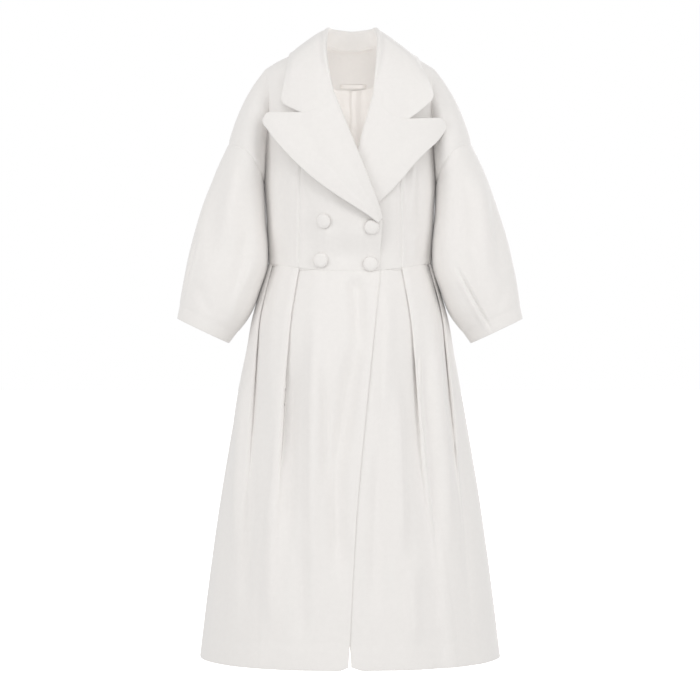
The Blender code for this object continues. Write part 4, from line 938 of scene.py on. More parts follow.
def skirtPoints(share, angles, depths, face, sign):
    turn = np.radians(angles)
    halfWidth = curve(skirt["flare"], "share", "halfWidth", share)
    reach = curve(skirt["flare"], "share", face, share)
    across = np.sin(turn)
    out = np.sqrt(1 - np.abs(across) ** bodice["roundAcross"])
    inward = -unit(np.stack([across / halfWidth, out / reach], -1))
    x = halfWidth * across + depths * inward[:, 0]
    y = reach * out + depths * inward[:, 1]
    facing = -1 if face == "front" else 1
    flatTop = np.full_like(x, bodice["waistSide"])
    top = waistHeight(x * bodice["waistHalf"] / halfWidth) if facing < 0 else flatTop
    return np.stack([sign * x, facing * y, top * (1 - share) + skirt["hem"] * share], -1)


def skirtRows():
    return np.linspace(0, 1, skirt["rows"] + 1) ** skirt["rowCrowding"]


def dressSkirt(grid, key):  # creases, soft unevenness and the line of the turned hem
    normals = gridNormals(grid, skirt["core"])
    fromWaist = edgeDistance(grid, 0)
    fromHem = edgeDistance(grid, 0, last=True)
    lift = skirt["creaseDepth"] * creaseLift(grid, skirt["creases"][key])
    lift += skirt["unevenness"] * uneven(grid, 13)
    lift *= ease(0.0, skirt["waistHold"], fromWaist)
    lift -= skirt["hemGroove"] * np.exp(-((fromHem - skirt["hemTurn"]) / skirt["hemWidth"]) ** 2)
    return normals, lift


def waistTurning(face, sign, end, side=None):  # the seam allowance, which closes the tops of the pleats
    angles = np.linspace(90, end, skirt["turningColumns"])
    line = skirtPoints(0.0, angles, np.full(len(angles), skirt["turningDepth"]), face, sign)
    if side:
        line[:, 1] -= lapLift(side, line[:, 0], np.full(len(line), bodice["waistSide"]))
    rises = np.array(skirt["turningRises"])
    grid = line + rises[:, None, None] * np.array([0.0, 0.0, 1.0])
    return grid, cloth["liningWall"] * gridNormals(grid, skirt["core"])


def sewHem(sheet, normals):
    row = np.argmin(np.abs(sheet[..., 2].mean(1) - skirt["hem"] - skirt["hemTurn"]))
    stitchLines["hem_stitches"].append(sheet[row] - (cloth["wall"] + stitch["stand"]) * normals[row])


def edgeAngle(side, share):  # of the front edge, from the centre line
    x = float(curve(skirt["edge"][side], "share", "x", share))
    halfWidth = float(curve(skirt["flare"], "share", "halfWidth", share))
    return math.degrees(math.asin(sides[side] * x / halfWidth))


def skirtShare(z):  # of the way from the waist to the hem
    return (z - bodice["waistSide"]) / (skirt["hem"] - bodice["waistSide"])


def makeSkirtFront(side):
    sign = sides[side]
    rows = []
    edge = skirt["edge"][side]
    for share in skirtRows():
        end = edgeAngle(side, share)
        angles, depths = skirtPath(side, share, end)
        points = skirtPoints(share, angles, depths, "front", sign)
        points[:, 1] -= lapLift(side, points[:, 0], np.full(len(points), bodice["waistSide"]))
        roundOff = np.clip(1 - (angles - end) / skirt["cornerWidth"], 0, 1) ** 2
        points[:, 2] += skirt["cornerRise"] * roundOff * ease(*skirt["cornerShare"], share)
        rows.append(points)
    grid = refineColumns(np.array(rows), columnSteps(side))
    normals, lift = dressSkirt(grid, side)
    lift *= ease(0.0, skirt["sideHold"], edgeDistance(grid, 1))
    if side == "left":  # under the right front it follows that panel's folds
        top = skirt["edge"]["right"]
        topEdge = curve(top, "share", "x", skirtShare(grid[..., 2]))
        beyond = ease(0.0, skirt["lapEase"], grid[..., 0] - topEdge)
        lift = lift * beyond + dressSkirt(grid, "right")[1] * (1 - beyond)
    grid = grid + lift[..., None] * normals
    normals = gridNormals(grid, skirt["core"])
    normals[:, 0] = levelNormals(normals[:, 0])
    sheet = inset(grid, firstRow=cloth["seamGap"] / 2 + seamInset())
    sheet[:, 0, 1] -= seamInset()
    sewHem(sheet, normals)
    hemLine = skirt["hem"] + skirt["hemTurn"]

    def lined(point):
        front = float(curve(edge, "share", "x", np.clip(skirtShare(point[2]), 0, 1)))
        return point[2] > hemLine and sign * (point[0] - front) > skirt["facing"]

    turning = waistTurning("front", sign, edgeAngle(side, 0.0), side)
    return sewPiece("skirt_front_" + side, [(sheet, cloth["wall"] * normals), turning], [wool, satin], lined)


def makeSkirtBack():
    rows = []
    for share in skirtRows():
        angles, depths = skirtPath("back", share, 0.0)
        left = skirtPoints(share, angles, depths, "back", 1)
        right = skirtPoints(share, angles, depths, "back", -1)
        rows.append(np.concatenate([left, right[-2::-1]]))
    steps = columnSteps("back")
    grid = refineColumns(np.array(rows), steps + steps[::-1])
    normals, lift = dressSkirt(grid, "back")
    for last in (False, True):
        lift = lift * ease(0.0, skirt["sideHold"], edgeDistance(grid, 1, last))
    grid = grid + lift[..., None] * normals
    normals = gridNormals(grid, skirt["core"])
    for column in (0, -1):
        normals[:, column] = levelNormals(normals[:, column])
    sheet = inset(grid, firstRow=cloth["seamGap"] / 2 + seamInset())
    sheet[:, 0, 1] += seamInset()
    sheet[:, -1, 1] += seamInset()
    sewHem(sheet, normals)
    hemLine = skirt["hem"] + skirt["hemTurn"]
    turnings = [waistTurning("back", sign, 0.0) for sign in sides.values()]
    return sewPiece("skirt_back", [(sheet, cloth["wall"] * normals)] + turnings, [wool, satin],
                    lambda point: point[2] > hemLine)


# Lapels and collar

lapel = {
    "rollRadius": {"right": 0.0025, "left": 0.0012},
    "hump": {"right": 0.003, "left": 0.001},
    "foldEnd": 150,  # degrees through which the cloth turns at the roll line
    "foldColumns": 15,
    "bridge": 5,  # mesh columns between the fold and the first step
    "firstStep": 0.14,
    "notch": 0.56,  # share of the way out at which collar and lapel part
    "sewnColumns": 18,
    "freeColumns": 18,
    "spread": 0.050,  # the lapel bridges the hollow at the arm crease
    "rows": (13, 12.65, 12.3, 11.5, 10.5, 9.5, 8.5, 7.5, 6.5, 5.5, 4.8, 4.3),
    "edge": {
        "right": {
            "row": (13, 12.3, 11.5, 10, 8, 6, 4.6, 4.2),
            "x": (-0.1520, -0.1610, -0.1510, -0.1185, -0.0634, -0.0060, 0.0420, 0.0555),
            "height": (-0.1330, -0.1450, -0.1650, -0.2060, -0.2590, -0.2990, -0.3290, -0.3385),
            "standOff": (0.012, 0.015, 0.018, 0.021, 0.020, 0.016, 0.011, 0.008),
        },
        "left": {
            "row": (13, 12.3, 11.5, 10, 8, 6, 4.6, 4.2),
            "x": (0.1700, 0.1785, 0.1690, 0.1280, 0.0830, 0.0380, 0.0000, -0.0130),
            "height": (-0.1420, -0.1545, -0.1750, -0.2170, -0.2700, -0.3100, -0.3330, -0.3390),
            "standOff": (0.005, 0.005, 0.005, 0.005, 0.004, 0.004, 0.004, 0.004),
        },
    },
    "gorgeSag": {"right": 0.030, "left": 0.043},
    "gorgePull": 4.0,  # rows over which the lapel follows the curve of the gorge seam
    "fine": 6,
    "foldLimit": 5,  # where it narrows, the fold's radius is its width divided by this
    "humpWidths": (0.02, 0.08),  # and the hump fades between these widths
    "plump": {"right": 0.0016, "left": 0.0008},  # soft fullness of the padded lapel
    "plumpRim": 0.016,  # which is whole from this far inside the edges
    "plumpColumns": 4,  # and sets in over these columns beyond the fold
    "unevenness": 0.8,
    "behind": (0.0, 9.0, 0.0),  # a point far behind, so that normals face forwards
}

collar = {
    # from the right gorge round the back to the left gorge; the lean tips the roll forwards
    "neck": ((-0.0535, -0.0822, -0.0450), (-0.0610, -0.0485, -0.0040), (-0.0620, 0.0040, 0.0148),
             (-0.0460, 0.0380, 0.0110), (-0.0220, 0.0520, 0.0065), (0.0000, 0.0555, 0.0050),
             (0.0220, 0.0520, 0.0065), (0.0460, 0.0380, 0.0110), (0.0622, 0.0040, 0.0148),
             (0.0640, -0.0485, -0.0040), (0.0590, -0.0815, -0.0460)),
    "roll": ((-0.0455, -0.0900, -0.0330), (-0.0470, -0.0480, 0.0150), (-0.0425, 0.0040, 0.0402),
             (-0.0345, 0.0370, 0.0424), (-0.0170, 0.0560, 0.0424), (0.0040, 0.0620, 0.0414),
             (0.0250, 0.0560, 0.0424), (0.0420, 0.0370, 0.0424), (0.0500, 0.0040, 0.0402),
             (0.0545, -0.0480, 0.0150), (0.0520, -0.0900, -0.0350)),
    "edge": ((-0.1225, -0.0830, -0.0760), (-0.1165, -0.0570, -0.0360), (-0.1110, 0.0000, -0.0090),
             (-0.1040, 0.0600, -0.0200), (-0.0620, 0.1040, -0.0400), (0.0000, 0.1180, -0.0480),
             (0.0660, 0.1040, -0.0400), (0.1100, 0.0600, -0.0220), (0.1240, 0.0000, -0.0165),
             (0.1350, -0.0520, -0.0420), (0.1475, -0.0770, -0.0730)),
    "sag": (0.010, 0, 0, 0, 0, 0, 0, 0, 0, 0, 0.016),
    "bulge": (0.006, 0.005, 0.001, 0.006, 0.010, 0.012, 0.010, 0.006, -0.001, 0.005, 0.006),
    "lean": (1.2, 0.4, 0, 0, 0, 0, 0, 0, 0, 0.4, 1.2),
    "tip": {"right": (-0.1290, -0.0920, -0.1115), "left": (0.1560, -0.0920, -0.1040)},
    "tipSag": 0.0015,
    "fold": 0.0045,
    "foldTurns": (30, 150),
    "foldColumns": 13,
    "standEnd": 0.9,  # share of the stand's height that is straight
    "standColumns": 11,
    "endTurns": (40, 60),  # at the gorge, how far the lapel's fold has turned at those two ends
    "between": 2,
    "clear": 0.0046,
    "standClear": 0.0030,
    "reach": 0.012,  # cloth farther off than this is left where it is
    "facing": 0.7,
    "fine": 8,
    "corner": 0.011,  # radius of the rounded corners
    "plump": 0.0014,
}


def fallSteps():  # shares of the way from the roll to the free edge, with one on the notch
    sewn = np.linspace(lapel["firstStep"], lapel["notch"], lapel["sewnColumns"] + 1)
    return np.concatenate([sewn, np.linspace(lapel["notch"], 1.0, lapel["freeColumns"] + 1)[1:]])


def bridgeFold(grid, foldCount):  # finer columns between the fold and the first step
    steps = np.ones(grid.shape[1] - 1, int)
    steps[foldCount - 1] = lapel["bridge"]
    return refineColumns(grid, steps)


def lapelGrid(side, foldTurns):  # a tight fold along the roll line, then out to the free edge
    rows = np.array(lapel["rows"], float)
    front = bodice["frontEdge"][side]
    rollX = np.interp(rows, front["row"], front["x"])
    rollZ = np.interp(rows, front["row"], front["height"])
    edge = {key: curve(lapel["edge"][side], "row", key, rows) for key in ("x", "height", "standOff")}
    inward = unit(np.stack([rollX - edge["x"], np.zeros_like(rows), rollZ - edge["height"]], -1))
    out = np.array([0.0, -1.0, 0.0])
    wall = cloth["rollWall"]
    width = np.hypot(rollX - edge["x"], rollZ - edge["height"])
    radius = np.minimum(lapel["rollRadius"][side] + wall, width / lapel["foldLimit"])[:, None]
    centre = chest(side, rollX, rollZ) + (radius - wall) * out
    columns = []
    for turn in np.radians(foldTurns):
        columns.append(centre + radius * (math.sin(turn) * inward - math.cos(turn) * out))
    notch = lapel["notch"]
    corner = collar["tip"][side]
    fold = 2 * radius[:, 0] - wall
    pull = 1 - ease(0, lapel["gorgePull"], rows[0] - rows)
    for step in fallSteps():
        x = rollX + (edge["x"] - rollX) * step
        z = rollZ + (edge["height"] - rollZ) * step
        sewn = min(step, notch)  # the gorge seam runs up to the notch, then the lapel's own top edge
        gorgeX = rollX[0] + (corner[0] - rollX[0]) * sewn
        gorgeZ = rollZ[0] + (corner[2] - rollZ[0]) * sewn - lapel["gorgeSag"][side] * 4 * sewn * (1 - sewn)
        past = max(step - notch, 0.0) / (1 - notch)
        x = x + pull * (gorgeX + (edge["x"][0] - gorgeX) * past - x[0])
        z = z + pull * (gorgeZ + (edge["height"][0] - gorgeZ) * past - z[0])
        clear = np.maximum(lapLift(side, x, z), lapLift(side, rollX, rollZ) * (1 - step))
        hump = lapel["hump"][side] * math.sin(math.pi * min(step / notch, 1.0))
        hump = hump * ease(*lapel["humpWidths"], width)
        lift = clear + fold * (1 - step) + edge["standOff"] * step + hump
        columns.append(np.stack([x, -bodyDepth("front", x, z, lapel["spread"] * step) - lift, z], -1))
    return bridgeFold(np.stack(columns, 1), len(foldTurns))


def edgeWalls(grid, fold):  # wall thickness from the roll out to the free edge
    share = np.clip((np.arange(grid.shape[1]) - fold) / (grid.shape[1] - 1 - fold), 0, 1)
    wall = cloth["rollWall"] + (cloth["edgeWall"] - cloth["rollWall"]) * ease(*cloth["thicken"], share)
    return np.broadcast_to(wall[None, :, None], grid.shape[:2] + (1,))


def plumpLift(grid, height, fold, fallColumn, seed):  # padded: full in the middle, turned down at the edges
    near = [edgeDistance(grid, 0), edgeDistance(grid, 0, last=True), edgeDistance(grid, 1, last=True)]
    lift = height * ease(0.0, lapel["plumpRim"], np.minimum.reduce(near))
    lift = lift + lapel["unevenness"] * uneven(grid, seed)
    return lift * ease(fold, fallColumn + lapel["plumpColumns"], np.arange(grid.shape[1]))


def makeLapel(side):
    turns = np.linspace(0, lapel["foldEnd"], lapel["foldColumns"] + 1)
    grid = refineLines(lapelGrid(side, turns), lapel["fine"])
    fallColumn = lapel["foldColumns"] + lapel["bridge"]
    normals = gridNormals(grid, lapel["behind"])
    lift = plumpLift(grid, lapel["plump"][side], lapel["foldColumns"], fallColumn, 21)
    grid = grid + lift[..., None] * normals
    normals = gridNormals(grid, lapel["behind"])
    sheet = inset(grid, firstRow=seamInset())
    return sewPiece("lapel_" + side, [(sheet, edgeWalls(grid, fallColumn) * normals)], [wool])


def collarEnd(side):  # along the gorge seam, then the collar's own free lower edge
    standTurns = np.linspace(0, collar["endTurns"][0], collar["standColumns"])
    foldTurns = np.linspace(collar["endTurns"][1], lapel["foldEnd"], collar["foldColumns"])
    turns = np.concatenate([standTurns, foldTurns])
    grid = lapelGrid(side, turns)
    sewn = grid.shape[1] - lapel["freeColumns"]
    row = grid[0].copy()
    tip = np.array(collar["tip"][side])
    notch = lapel["notch"]
    for column, step in zip(range(sewn, len(row)), fallSteps()[-lapel["freeColumns"]:]):
        share = (step - notch) / (1 - notch)
        row[column] = row[sewn - 1] * (1 - share) + tip * share
        row[column, 2] -= collar["tipSag"] * 4 * share * (1 - share)
    return row, gridNormals(grid, lapel["behind"])[0, :sewn]


def collarSection(i):
    neck, roll, edge = (np.array(collar[key][i]) for key in ("neck", "roll", "edge"))
    up = unit(np.array([0.0, -collar["lean"][i], 1.0]))
    out = unit(np.array([edge[0] - roll[0], edge[1] - roll[1], 0.0]))
    centre = roll - collar["fold"] * up
    start = centre - collar["fold"] * out
    steps = np.linspace(0, collar["standEnd"], collar["standColumns"])
    points = [neck + (start - neck) * step for step in steps]
    for turn in np.radians(np.linspace(*collar["foldTurns"], collar["foldColumns"])):
        points.append(centre + collar["fold"] * (math.sin(turn) * up - math.cos(turn) * out))
    begin = points[-1]
    for step in fallSteps():
        hump = 4 * step * (1 - step)
        fall = begin + (edge - begin) * step + collar["bulge"][i] * hump * unit(out + up)
        points.append(fall - np.array([0.0, 0.0, collar["sag"][i] * hump]))
    points = np.array(points)[None]
    return bridgeFold(points, collar["standColumns"] + collar["foldColumns"])[0]


def roundCorner(grid, radius):  # of the first row and the last column
    fromRow = np.clip(1 - edgeDistance(grid, 0) / radius, 0, 1)
    fromColumn = np.clip(1 - edgeDistance(grid, 1, last=True) / radius, 0, 1)
    toRow = -unit(np.gradient(grid, axis=0))
    toColumn = unit(np.gradient(grid, axis=1))
    rowShift = fromRow * (np.sqrt(1 - fromColumn ** 2 / 2) - 1)
    columnShift = fromColumn * (np.sqrt(1 - fromRow ** 2 / 2) - 1)
    return grid + radius * (rowShift[..., None] * toRow + columnShift[..., None] * toColumn)


def clothTree(sheets):
    points, _, faces = weldSheets(sheets, False)
    return BVHTree.FromPolygons([Vector(point) for point in points], faces)


def keepClear(tree, points, clearance, face=1):  # moved off the outer (1) or inner (-1) side of the cloth
    moved = np.array(points)
    for place in np.ndindex(*moved.shape[:-1]):
        spot, normal, _, distance = tree.find_nearest(Vector(moved[place]))
        height = face * (Vector(moved[place]) - spot).dot(normal)
        facing = abs(height) >= collar["facing"] * distance  # not off to one side of the cloth's edge
        if facing and height < clearance and distance < collar["reach"]:
            moved[place] = spot + face * clearance * normal
    return moved


def makeCollar(tree):
    ends = {side: collarEnd(side) for side in sides}
    sections = [ends["right"][0]]
    sections += [collarSection(i) for i in range(len(collar["neck"]))]
    sections.append(ends["left"][0])
    coarse = np.array(sections)
    places = np.linspace(0, len(coarse) - 1, collar["between"] * (len(coarse) - 1) + 1)
    slopes = np.gradient(coarse, axis=0)
    left = np.minimum(places.astype(int), len(coarse) - 2)
    coarse = between(coarse, slopes, left, 1, (places - left)[:, None, None])
    standColumns = collar["standColumns"]
    fallColumn = standColumns + collar["foldColumns"] - 1 + lapel["bridge"]
    stand = coarse[:, :standColumns]
    standNormals = -gridNormals(coarse, bodice["core"])[:, :standColumns]
    standTree = clothTree([(stand + cloth["rollWall"] * standNormals, standNormals)])
    free = slice(collar["between"], -collar["between"])  # all but the ends, which follow the gorge seams
    fall = keepClear(tree, coarse[free, fallColumn:], collar["clear"])
    coarse[free, fallColumn:] = keepClear(standTree, fall, collar["standClear"])
    grid = refineLines(coarse, collar["fine"])
    grid = roundCorner(roundCorner(grid, collar["corner"])[::-1], collar["corner"])[::-1]
    normals = gridNormals(grid, bodice["core"])
    lift = plumpLift(grid, collar["plump"], fallColumn - lapel["bridge"], fallColumn, 31)
    grid = grid + lift[..., None] * normals
    normals = gridNormals(grid, bodice["core"])
    for row, side in ((0, "right"), (-1, "left")):
        shared = ends[side][1]
        normals[row, :len(shared)] = shared
    gap = seamInset()
    sheet = inset(grid, gap, gap, gap)
    return sewPiece("collar", [(sheet, edgeWalls(grid, fallColumn) * normals)], [wool])


# Inside the back of the neck

inside = {
    "air": 0.0014,
    "facingHalf": 0.084,
    "facingDrop": -0.066,  # lower edge at the centre back
    "facingRise": 0.040,
    "facingMeets": (0.050, 0.062),
    "facingColumns": 64,
    "facingRows": 24,
    "facingCurve": 3,  # power that bends its lower edge, and its top over to the collar stand
    "probe": 0.001,  # step for slopes
    "topClear": 0.004,
    "liningHalf": 0.118,
    "liningClear": 0.030,
    "liningColumns": 90,
    "liningSides": 9,  # mesh columns beyond the facing, on each side
    "liningRows": 70,
    "ripple": {"height": 0.0006, "across": 0.0045, "along": 0.05, "slant": 3, "hold": 0.02},  # slack satin
    "pleat": 0.0030,  # the lining's ease pleat beside the centre line
    "pleatRise": (-0.001, 0.004),
    "pleatFall": (0.010, 0.024),
    "loop": {"left": -0.018, "right": 0.031, "height": -0.0615, "width": 0.007, "stand": 0.003,
             "columns": 24, "rows": 6},
}


def backInside(x, z, distance):  # points inside the back, a distance from its outer face
    step = inside["probe"]

    def outer(x, z):
        return np.stack([x, bodyDepth("back", x, z), z], -1)

    across = outer(x + step, z) - outer(x - step, z)
    up = outer(x, z + step) - outer(x, z - step)
    return outer(x, z) - np.broadcast_to(distance, x.shape)[..., None] * unit(np.cross(up, across))


def insideGrid(across, bottom, top, rows, distance):
    share = np.linspace(0, 1, rows + 1)[:, None]
    x, z = np.broadcast_arrays(across, bottom + (top - bottom) * share)
    return backInside(x, z, distance)


def facingEdge(across):
    bend = np.abs(across / inside["facingHalf"]) ** inside["facingCurve"]
    return inside["facingDrop"] + inside["facingRise"] * bend


def makeInside(tree):
    wall = cloth["liningWall"]
    depth = cloth["wall"] + inside["air"] + wall
    half = inside["facingHalf"]
    across = np.linspace(-half, half, inside["facingColumns"] + 1)
    top = np.where(np.abs(across) < bodice["neckHalf"], necklineHeight(across), shoulderHeight(across))
    grid = insideGrid(across, facingEdge(across), top - inside["topClear"], inside["facingRows"], depth)
    grid = keepClear(tree, grid, depth, face=-1)
    share = np.linspace(0, 1, len(grid))[:, None, None] ** inside["facingCurve"]
    neck = dict(zip("xyz", np.transpose(collar["neck"][2:9])))
    seam = np.stack([across, curve(neck, "x", "y", across), curve(neck, "x", "z", across) - seamInset()], -1)
    meets = 1 - ease(*inside["facingMeets"], np.abs(across))[:, None]
    grid = grid + share * meets * (seam - grid[-1])  # up to the foot of the collar stand
    normals = gridNormals(grid, lapel["behind"])
    facing = sewPiece("back_neck_facing", [(grid, wall * normals)], [wool])
    below = normals[0] - np.array([0.0, 0.0, stitch["below"]])
    stitchLines["lining_stitches"].append(grid[0] + stitch["stand"] * below)

    side = np.linspace(half, inside["liningHalf"], inside["liningSides"] + 1)[1:]
    wide = np.concatenate([-side[::-1], np.linspace(-half, half, inside["liningColumns"] + 1), side])
    under = np.abs(wide) <= half
    gap = cloth["seamGap"] + wall
    top = np.where(under, facingEdge(wide) - gap, shoulderHeight(wide) - inside["liningClear"])
    pleat = ease(*inside["pleatRise"], wide) - ease(*inside["pleatFall"], wide)
    bottom = bodice["waistSide"] + inside["topClear"]
    grid = insideGrid(wide, bottom, top, inside["liningRows"], depth + inside["pleat"] * pleat)
    grid = keepClear(tree, grid, depth, face=-1)
    normals = gridNormals(grid, lapel["behind"])
    ripple = inside["ripple"]
    phase = grid[..., 0] / ripple["across"] + ripple["slant"] * grid[..., 2] / ripple["along"]
    lift = np.abs(ripple["height"] * np.sin(phase) + uneven(grid, 41))
    grid = grid + (lift * ease(0.0, ripple["hold"], edgeDistance(grid, 0, last=True)))[..., None] * normals
    lining = sewPiece("back_lining", [(grid, wall * gridNormals(grid, lapel["behind"]))], [satin])

    loop = inside["loop"]
    share = np.linspace(0, 1, loop["columns"] + 1)
    span = loop["right"] - loop["left"]
    across = loop["left"] + span * share
    stand = depth + wall + inside["air"] + loop["stand"] * np.sin(math.pi * share)
    grid = insideGrid(across, loop["height"], loop["height"] + loop["width"], loop["rows"], stand)
    hanger = sewPiece("hanger_loop", [(grid, wall * gridNormals(grid, lapel["behind"]))], [satin])
    out = stand[0] + loop["stand"] * math.sin(math.pi * 2 * stitch["tackHalf"] / span)
    for end in (loop["left"] + stitch["tackHalf"], loop["right"] - stitch["tackHalf"]):
        for row in range(stitch["tackRows"]):
            z = np.full(2, loop["height"] + loop["width"] * (row + 0.5) / stitch["tackRows"])
            x = end + stitch["tackHalf"] * np.array([-1.0, 1.0])
            stitchLines["loop_tacks"].append(backInside(x, z, out + stitch["stand"]))
    return facing, lining, hanger


# Buttons

button = {
    "radius": 0.0137,
    "height": 0.0062,
    "shankRadius": 0.0045,
    "shankHeight": 0.0015,
    "profile": ((0.30, 0.00), (0.86, -0.02), (0.965, 0.06), (1.00, 0.20), (0.985, 0.36), (0.93, 0.55),
                (0.83, 0.71), (0.70, 0.83), (0.54, 0.91), (0.36, 0.97), (0.18, 0.995)),
    "segments": 64,
    "probe": 0.008,  # half the stretch of cloth that sets its tilt
    "rays": 17,  # round the shank, to find the cloth
    "rayStart": 0.05,  # they start this far in front
    "places": {
        "button_upper_right": (-0.0480, -0.3355),
        "button_upper_left": (0.0395, -0.3465),
        "button_lower_right": (-0.0535, -0.4070),
        "button_lower_left": (0.0377, -0.4140),
    },
}


def makeButton(name, tree):
    x, z = (np.array([value]) for value in button["places"][name])
    step = button["probe"]
    across = chest("right", x + step, z) - chest("right", x - step, z)
    up = chest("right", x, z + step) - chest("right", x, z - step)
    axis = unit(np.cross(across, up))[0]
    right = unit(across)[0]
    top = np.cross(axis, right)
    point = chest("right", x, z)[0]
    reach = []
    for turn in np.linspace(0, 2 * math.pi, button["rays"]):
        foot = point + button["shankRadius"] * (math.cos(turn) * right + math.sin(turn) * top)
        spot, _, _, _ = tree.ray_cast(Vector(foot + button["rayStart"] * axis), Vector(-axis))
        reach.append(np.dot(np.array(spot) - point, axis))
    base = point + (max(reach) + cloth["seamGap"]) * axis
    shank = button["shankHeight"]
    rings = [(button["shankRadius"], 0.0), (button["shankRadius"], shank)]
    rings += [(button["radius"] * wide, shank + button["height"] * rise) for wide, rise in button["profile"]]
    turns = np.arange(button["segments"]) * 2 * math.pi / button["segments"]
    spokes = np.cos(turns)[:, None] * right + np.sin(turns)[:, None] * top
    points = np.concatenate([base + height * axis + radius * spokes for radius, height in rings])
    count = button["segments"]
    faces = []
    for ring in range(len(rings) - 1):
        for i in range(count):
            j = (i + 1) % count
            low, high = ring * count, (ring + 1) * count
            faces.append((low + i, low + j, high + j, high + i))
    faces.append(tuple(range(count))[::-1])
    last = (len(rings) - 1) * count
    points = np.concatenate([points, [base + (shank + button["height"]) * axis]])
    faces += [(last + i, last + (i + 1) % count, len(points) - 1) for i in range(count)]
    return addPiece(name + "_cover", points, faces, [buttonWool])


# Stitches

def stitchTree():  # lays a stitch, a long bead of thread, at each step along a line
    tree = bpy.data.node_groups.new("stitches", "GeometryNodeTree")
    inputs = {"Geometry": "Geometry", "Spacing": "Float", "Length": "Float", "Thickness": "Float",
              "Tilt": "Float", "Seed": "Int", "Thread": "Material"}
    for key, kind in inputs.items():
        socket = tree.interface.new_socket(key, in_out="INPUT", socket_type="NodeSocket" + kind)
        inputs[key] = socket.identifier
    tree.interface.new_socket("Geometry", in_out="OUTPUT", socket_type="NodeSocketGeometry")
    given = addNode(tree, "NodeGroupInput", {}).outputs
    line = addNode(tree, "GeometryNodeMeshToCurve", {"Mesh": given["Geometry"]})
    steps = addNode(tree, "GeometryNodeResampleCurve", {
        "Curve": line.outputs["Curve"], "Length": given["Spacing"]}, mode="LENGTH")
    along = addNode(tree, "GeometryNodeInputTangent", {})
    lay = addNode(tree, "FunctionNodeAlignRotationToVector", {"Vector": along.outputs["Tangent"]}, axis="Z")
    most = addNode(tree, "ShaderNodeCombineXYZ", {"X": given["Tilt"], "Y": given["Tilt"]})
    tilt = addNode(tree, "FunctionNodeRandomValue", {
        "Max": most.outputs["Vector"], "Seed": given["Seed"]}, data_type="FLOAT_VECTOR")
    tilt.inputs["Min"].default_value = (0.0, 0.0, 0.0)
    turned = addNode(tree, "FunctionNodeRotateRotation", {
        "Rotation": lay.outputs["Rotation"], "Rotate By": tilt.outputs["Value"]})
    loopOfThread = addNode(tree, "GeometryNodeMeshIcoSphere", {"Radius": 0.5, "Subdivisions": 2})
    size = addNode(tree, "ShaderNodeCombineXYZ", {
        "X": given["Thickness"], "Y": given["Thickness"], "Z": given["Length"]})
    laid = addNode(tree, "GeometryNodeInstanceOnPoints", {
        "Points": steps.outputs["Curve"], "Instance": loopOfThread.outputs["Mesh"],
        "Rotation": turned.outputs["Rotation"], "Scale": size.outputs["Vector"]})
    real = addNode(tree, "GeometryNodeRealizeInstances", {"Geometry": laid.outputs["Instances"]})
    dyed = addNode(tree, "GeometryNodeSetMaterial", {
        "Geometry": real.outputs["Geometry"], "Material": given["Thread"]})
    addNode(tree, "NodeGroupOutput", {"Geometry": dyed.outputs["Geometry"]})
    return tree, inputs


def makeStitches(name, tree, inputs):
    points, edges = [], []
    for line in stitchLines[name]:
        edges += [(len(points) + i, len(points) + i + 1) for i in range(len(line) - 1)]
        points += line.tolist()
    mesh = bpy.data.meshes.new(name + "Lines")
    mesh.from_pydata(points, edges, [])
    piece = bpy.data.objects.new(name, mesh)
    scene.collection.objects.link(piece)
    modifier = piece.modifiers.new("stitches", "NODES")
    modifier.node_group = tree
    spacing, length = stitch["sewn"][name]
    values = {"Spacing": spacing, "Length": length, "Thickness": stitch["thickness"], "Tilt": stitch["tilt"],
              "Seed": stitch["seed"], "Thread": thread}
    for key, value in values.items():
        modifier[inputs[key]] = value
    sewn = bpy.data.meshes.new_from_object(piece.evaluated_get(bpy.context.evaluated_depsgraph_get()))
    piece.modifiers.remove(modifier)
    piece.data = sewn
    sewn.polygons.foreach_set("use_smooth", [True] * len(sewn.polygons))
    return piece


# Making the coat

pieces = {}
sleeveNormals = {}
for side in sides:
    pieces["sleeve_" + side], sleeveNormals[side] = makeSleeve(side)
print("sleeves made")
pieces["back_bodice"], bodiceSheets = makeBack(sleeveNormals)
for side in sides:
    made, sheets = makeFront(side, sleeveNormals[side])
    pieces["front_centre_" + side], pieces["front_side_" + side] = made
    bodiceSheets += sheets
    pieces["lapel_" + side] = makeLapel(side)
print("bodice and lapels made")
for side in sides:
    pieces["skirt_front_" + side] = makeSkirtFront(side)
pieces["skirt_back"] = makeSkirtBack()
print("skirt made")
bodiceTree = clothTree(bodiceSheets)
pieces["collar"] = makeCollar(bodiceTree)
pieces["back_neck_facing"], pieces["back_lining"], pieces["hanger_loop"] = makeInside(bodiceTree)
for name in button["places"]:
    pieces[name] = makeButton(name, bodiceTree)
print("collar, inside and buttons made")

sewing = stitchTree()
sewn = {name: makeStitches(name, *sewing) for name in stitch["sewn"]}
print("stitches sewn,", sum(len(piece.data.polygons) for piece in sewn.values()), "faces")

for name, piece in pieces.items():
    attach(piece, "root")
    nodes = ("collar_stand", "collar_fall") if name == "collar" else (name,)
    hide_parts(*nodes)
for piece in sewn.values():
    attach(piece, "root")

# Stage, light and camera

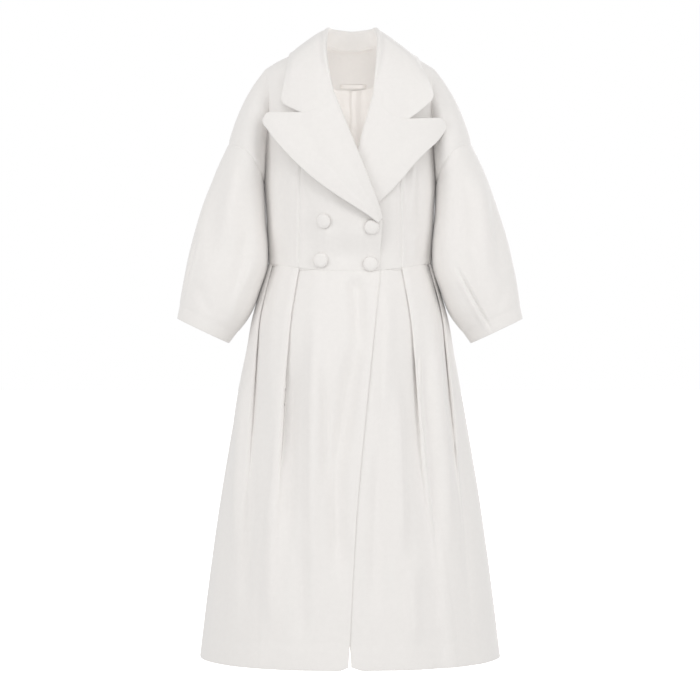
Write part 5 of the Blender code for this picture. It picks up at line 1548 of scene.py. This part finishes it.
studio = {
    "floor": -1.43,  # where the wearer would stand
    "sky": 0.68,  # light from all round; the camera sees the white of the backdrop
    "lamps": {  # kind, place, what it points at, size and power
        "front": ("AREA", (0.1, -4.8, 0.0), (0.0, 0.0, -0.50), 1.8, 15.0),
        "key": ("AREA", (0.1, -3.1, 2.1), (0.0, 0.0, -0.45), 0.8, 14.0),
        "leftFill": ("AREA", (-3.0, -2.4, 0.2), (0.0, 0.0, -0.45), 1.6, 31.0),
        "rightFill": ("AREA", (3.0, -2.4, 0.2), (0.0, 0.0, -0.45), 1.6, 31.0),
        "back": ("AREA", (1.4, 4.2, 1.2), (0.0, 0.0, -0.50), 1.6, 70.0),
        "inner": ("POINT", (0.0, -0.03, -0.106), (0.0, 0.06, 0.05), 0.02, 0.25),
    },
    "floorHalf": 40.0,
    "floorGlow": 0.8,  # the floor is washed with light, so that it reads as white
    "sensor": 36.0,
    "cameraDistance": 4.0,
    "cameraHeight": -0.573,
    "frameWidth": 1.33,  # what the picture spans at the coat
}


def aim(thing, target):
    thing.rotation_euler = (Vector(target) - thing.location).to_track_quat("-Z", "Y").to_euler()


def makeStudio():
    world = bpy.data.worlds.new("softbox")
    world.use_nodes = True
    tree = world.node_tree
    seen = addNode(tree, "ShaderNodeLightPath", {}).outputs["Is Camera Ray"]
    strength = addNode(tree, "ShaderNodeMapRange", {"Value": seen, "To Min": studio["sky"], "To Max": 1.0})
    sky = tree.nodes["Background"]
    sky.inputs["Color"].default_value = (1.0, 1.0, 1.0, 1.0)
    tree.links.new(strength.outputs["Result"], sky.inputs["Strength"])
    scene.world = world
    # matt white cyclorama paint
    paint, _, _ = newMaterial("whiteCycloramaPaint", Roughness=0.9, Emission_Strength=studio["floorGlow"],
                              Base_Color=linear("#F4F3F1"), Emission_Color=linear("#FFFFFF"))
    size = studio["floorHalf"]
    corners = [(-size, -size), (size, -size), (size, size), (-size, size)]
    floor = addPiece("floor", [(x, y, studio["floor"]) for x, y in corners], [(0, 1, 2, 3)], [paint])
    floor.visible_diffuse = False
    for name, (kind, place, target, size, power) in studio["lamps"].items():
        light = bpy.data.objects.new(name, bpy.data.lights.new(name, kind))
        light.data.energy = power
        setattr(light.data, "size" if kind == "AREA" else "shadow_soft_size", size)
        light.location = place
        light.visible_camera = False
        aim(light, target)
        scene.collection.objects.link(light)
    camera = bpy.data.objects.new("camera", bpy.data.cameras.new("camera"))
    camera.data.sensor_width = studio["sensor"]
    camera.data.lens = studio["sensor"] * studio["cameraDistance"] / studio["frameWidth"]
    camera.location = (0.0, -studio["cameraDistance"], studio["cameraHeight"])
    camera.rotation_euler = (math.pi / 2, 0.0, 0.0)
    scene.collection.objects.link(camera)
    scene.camera = camera
    scene.view_settings.view_transform = "Standard"


makeStudio()
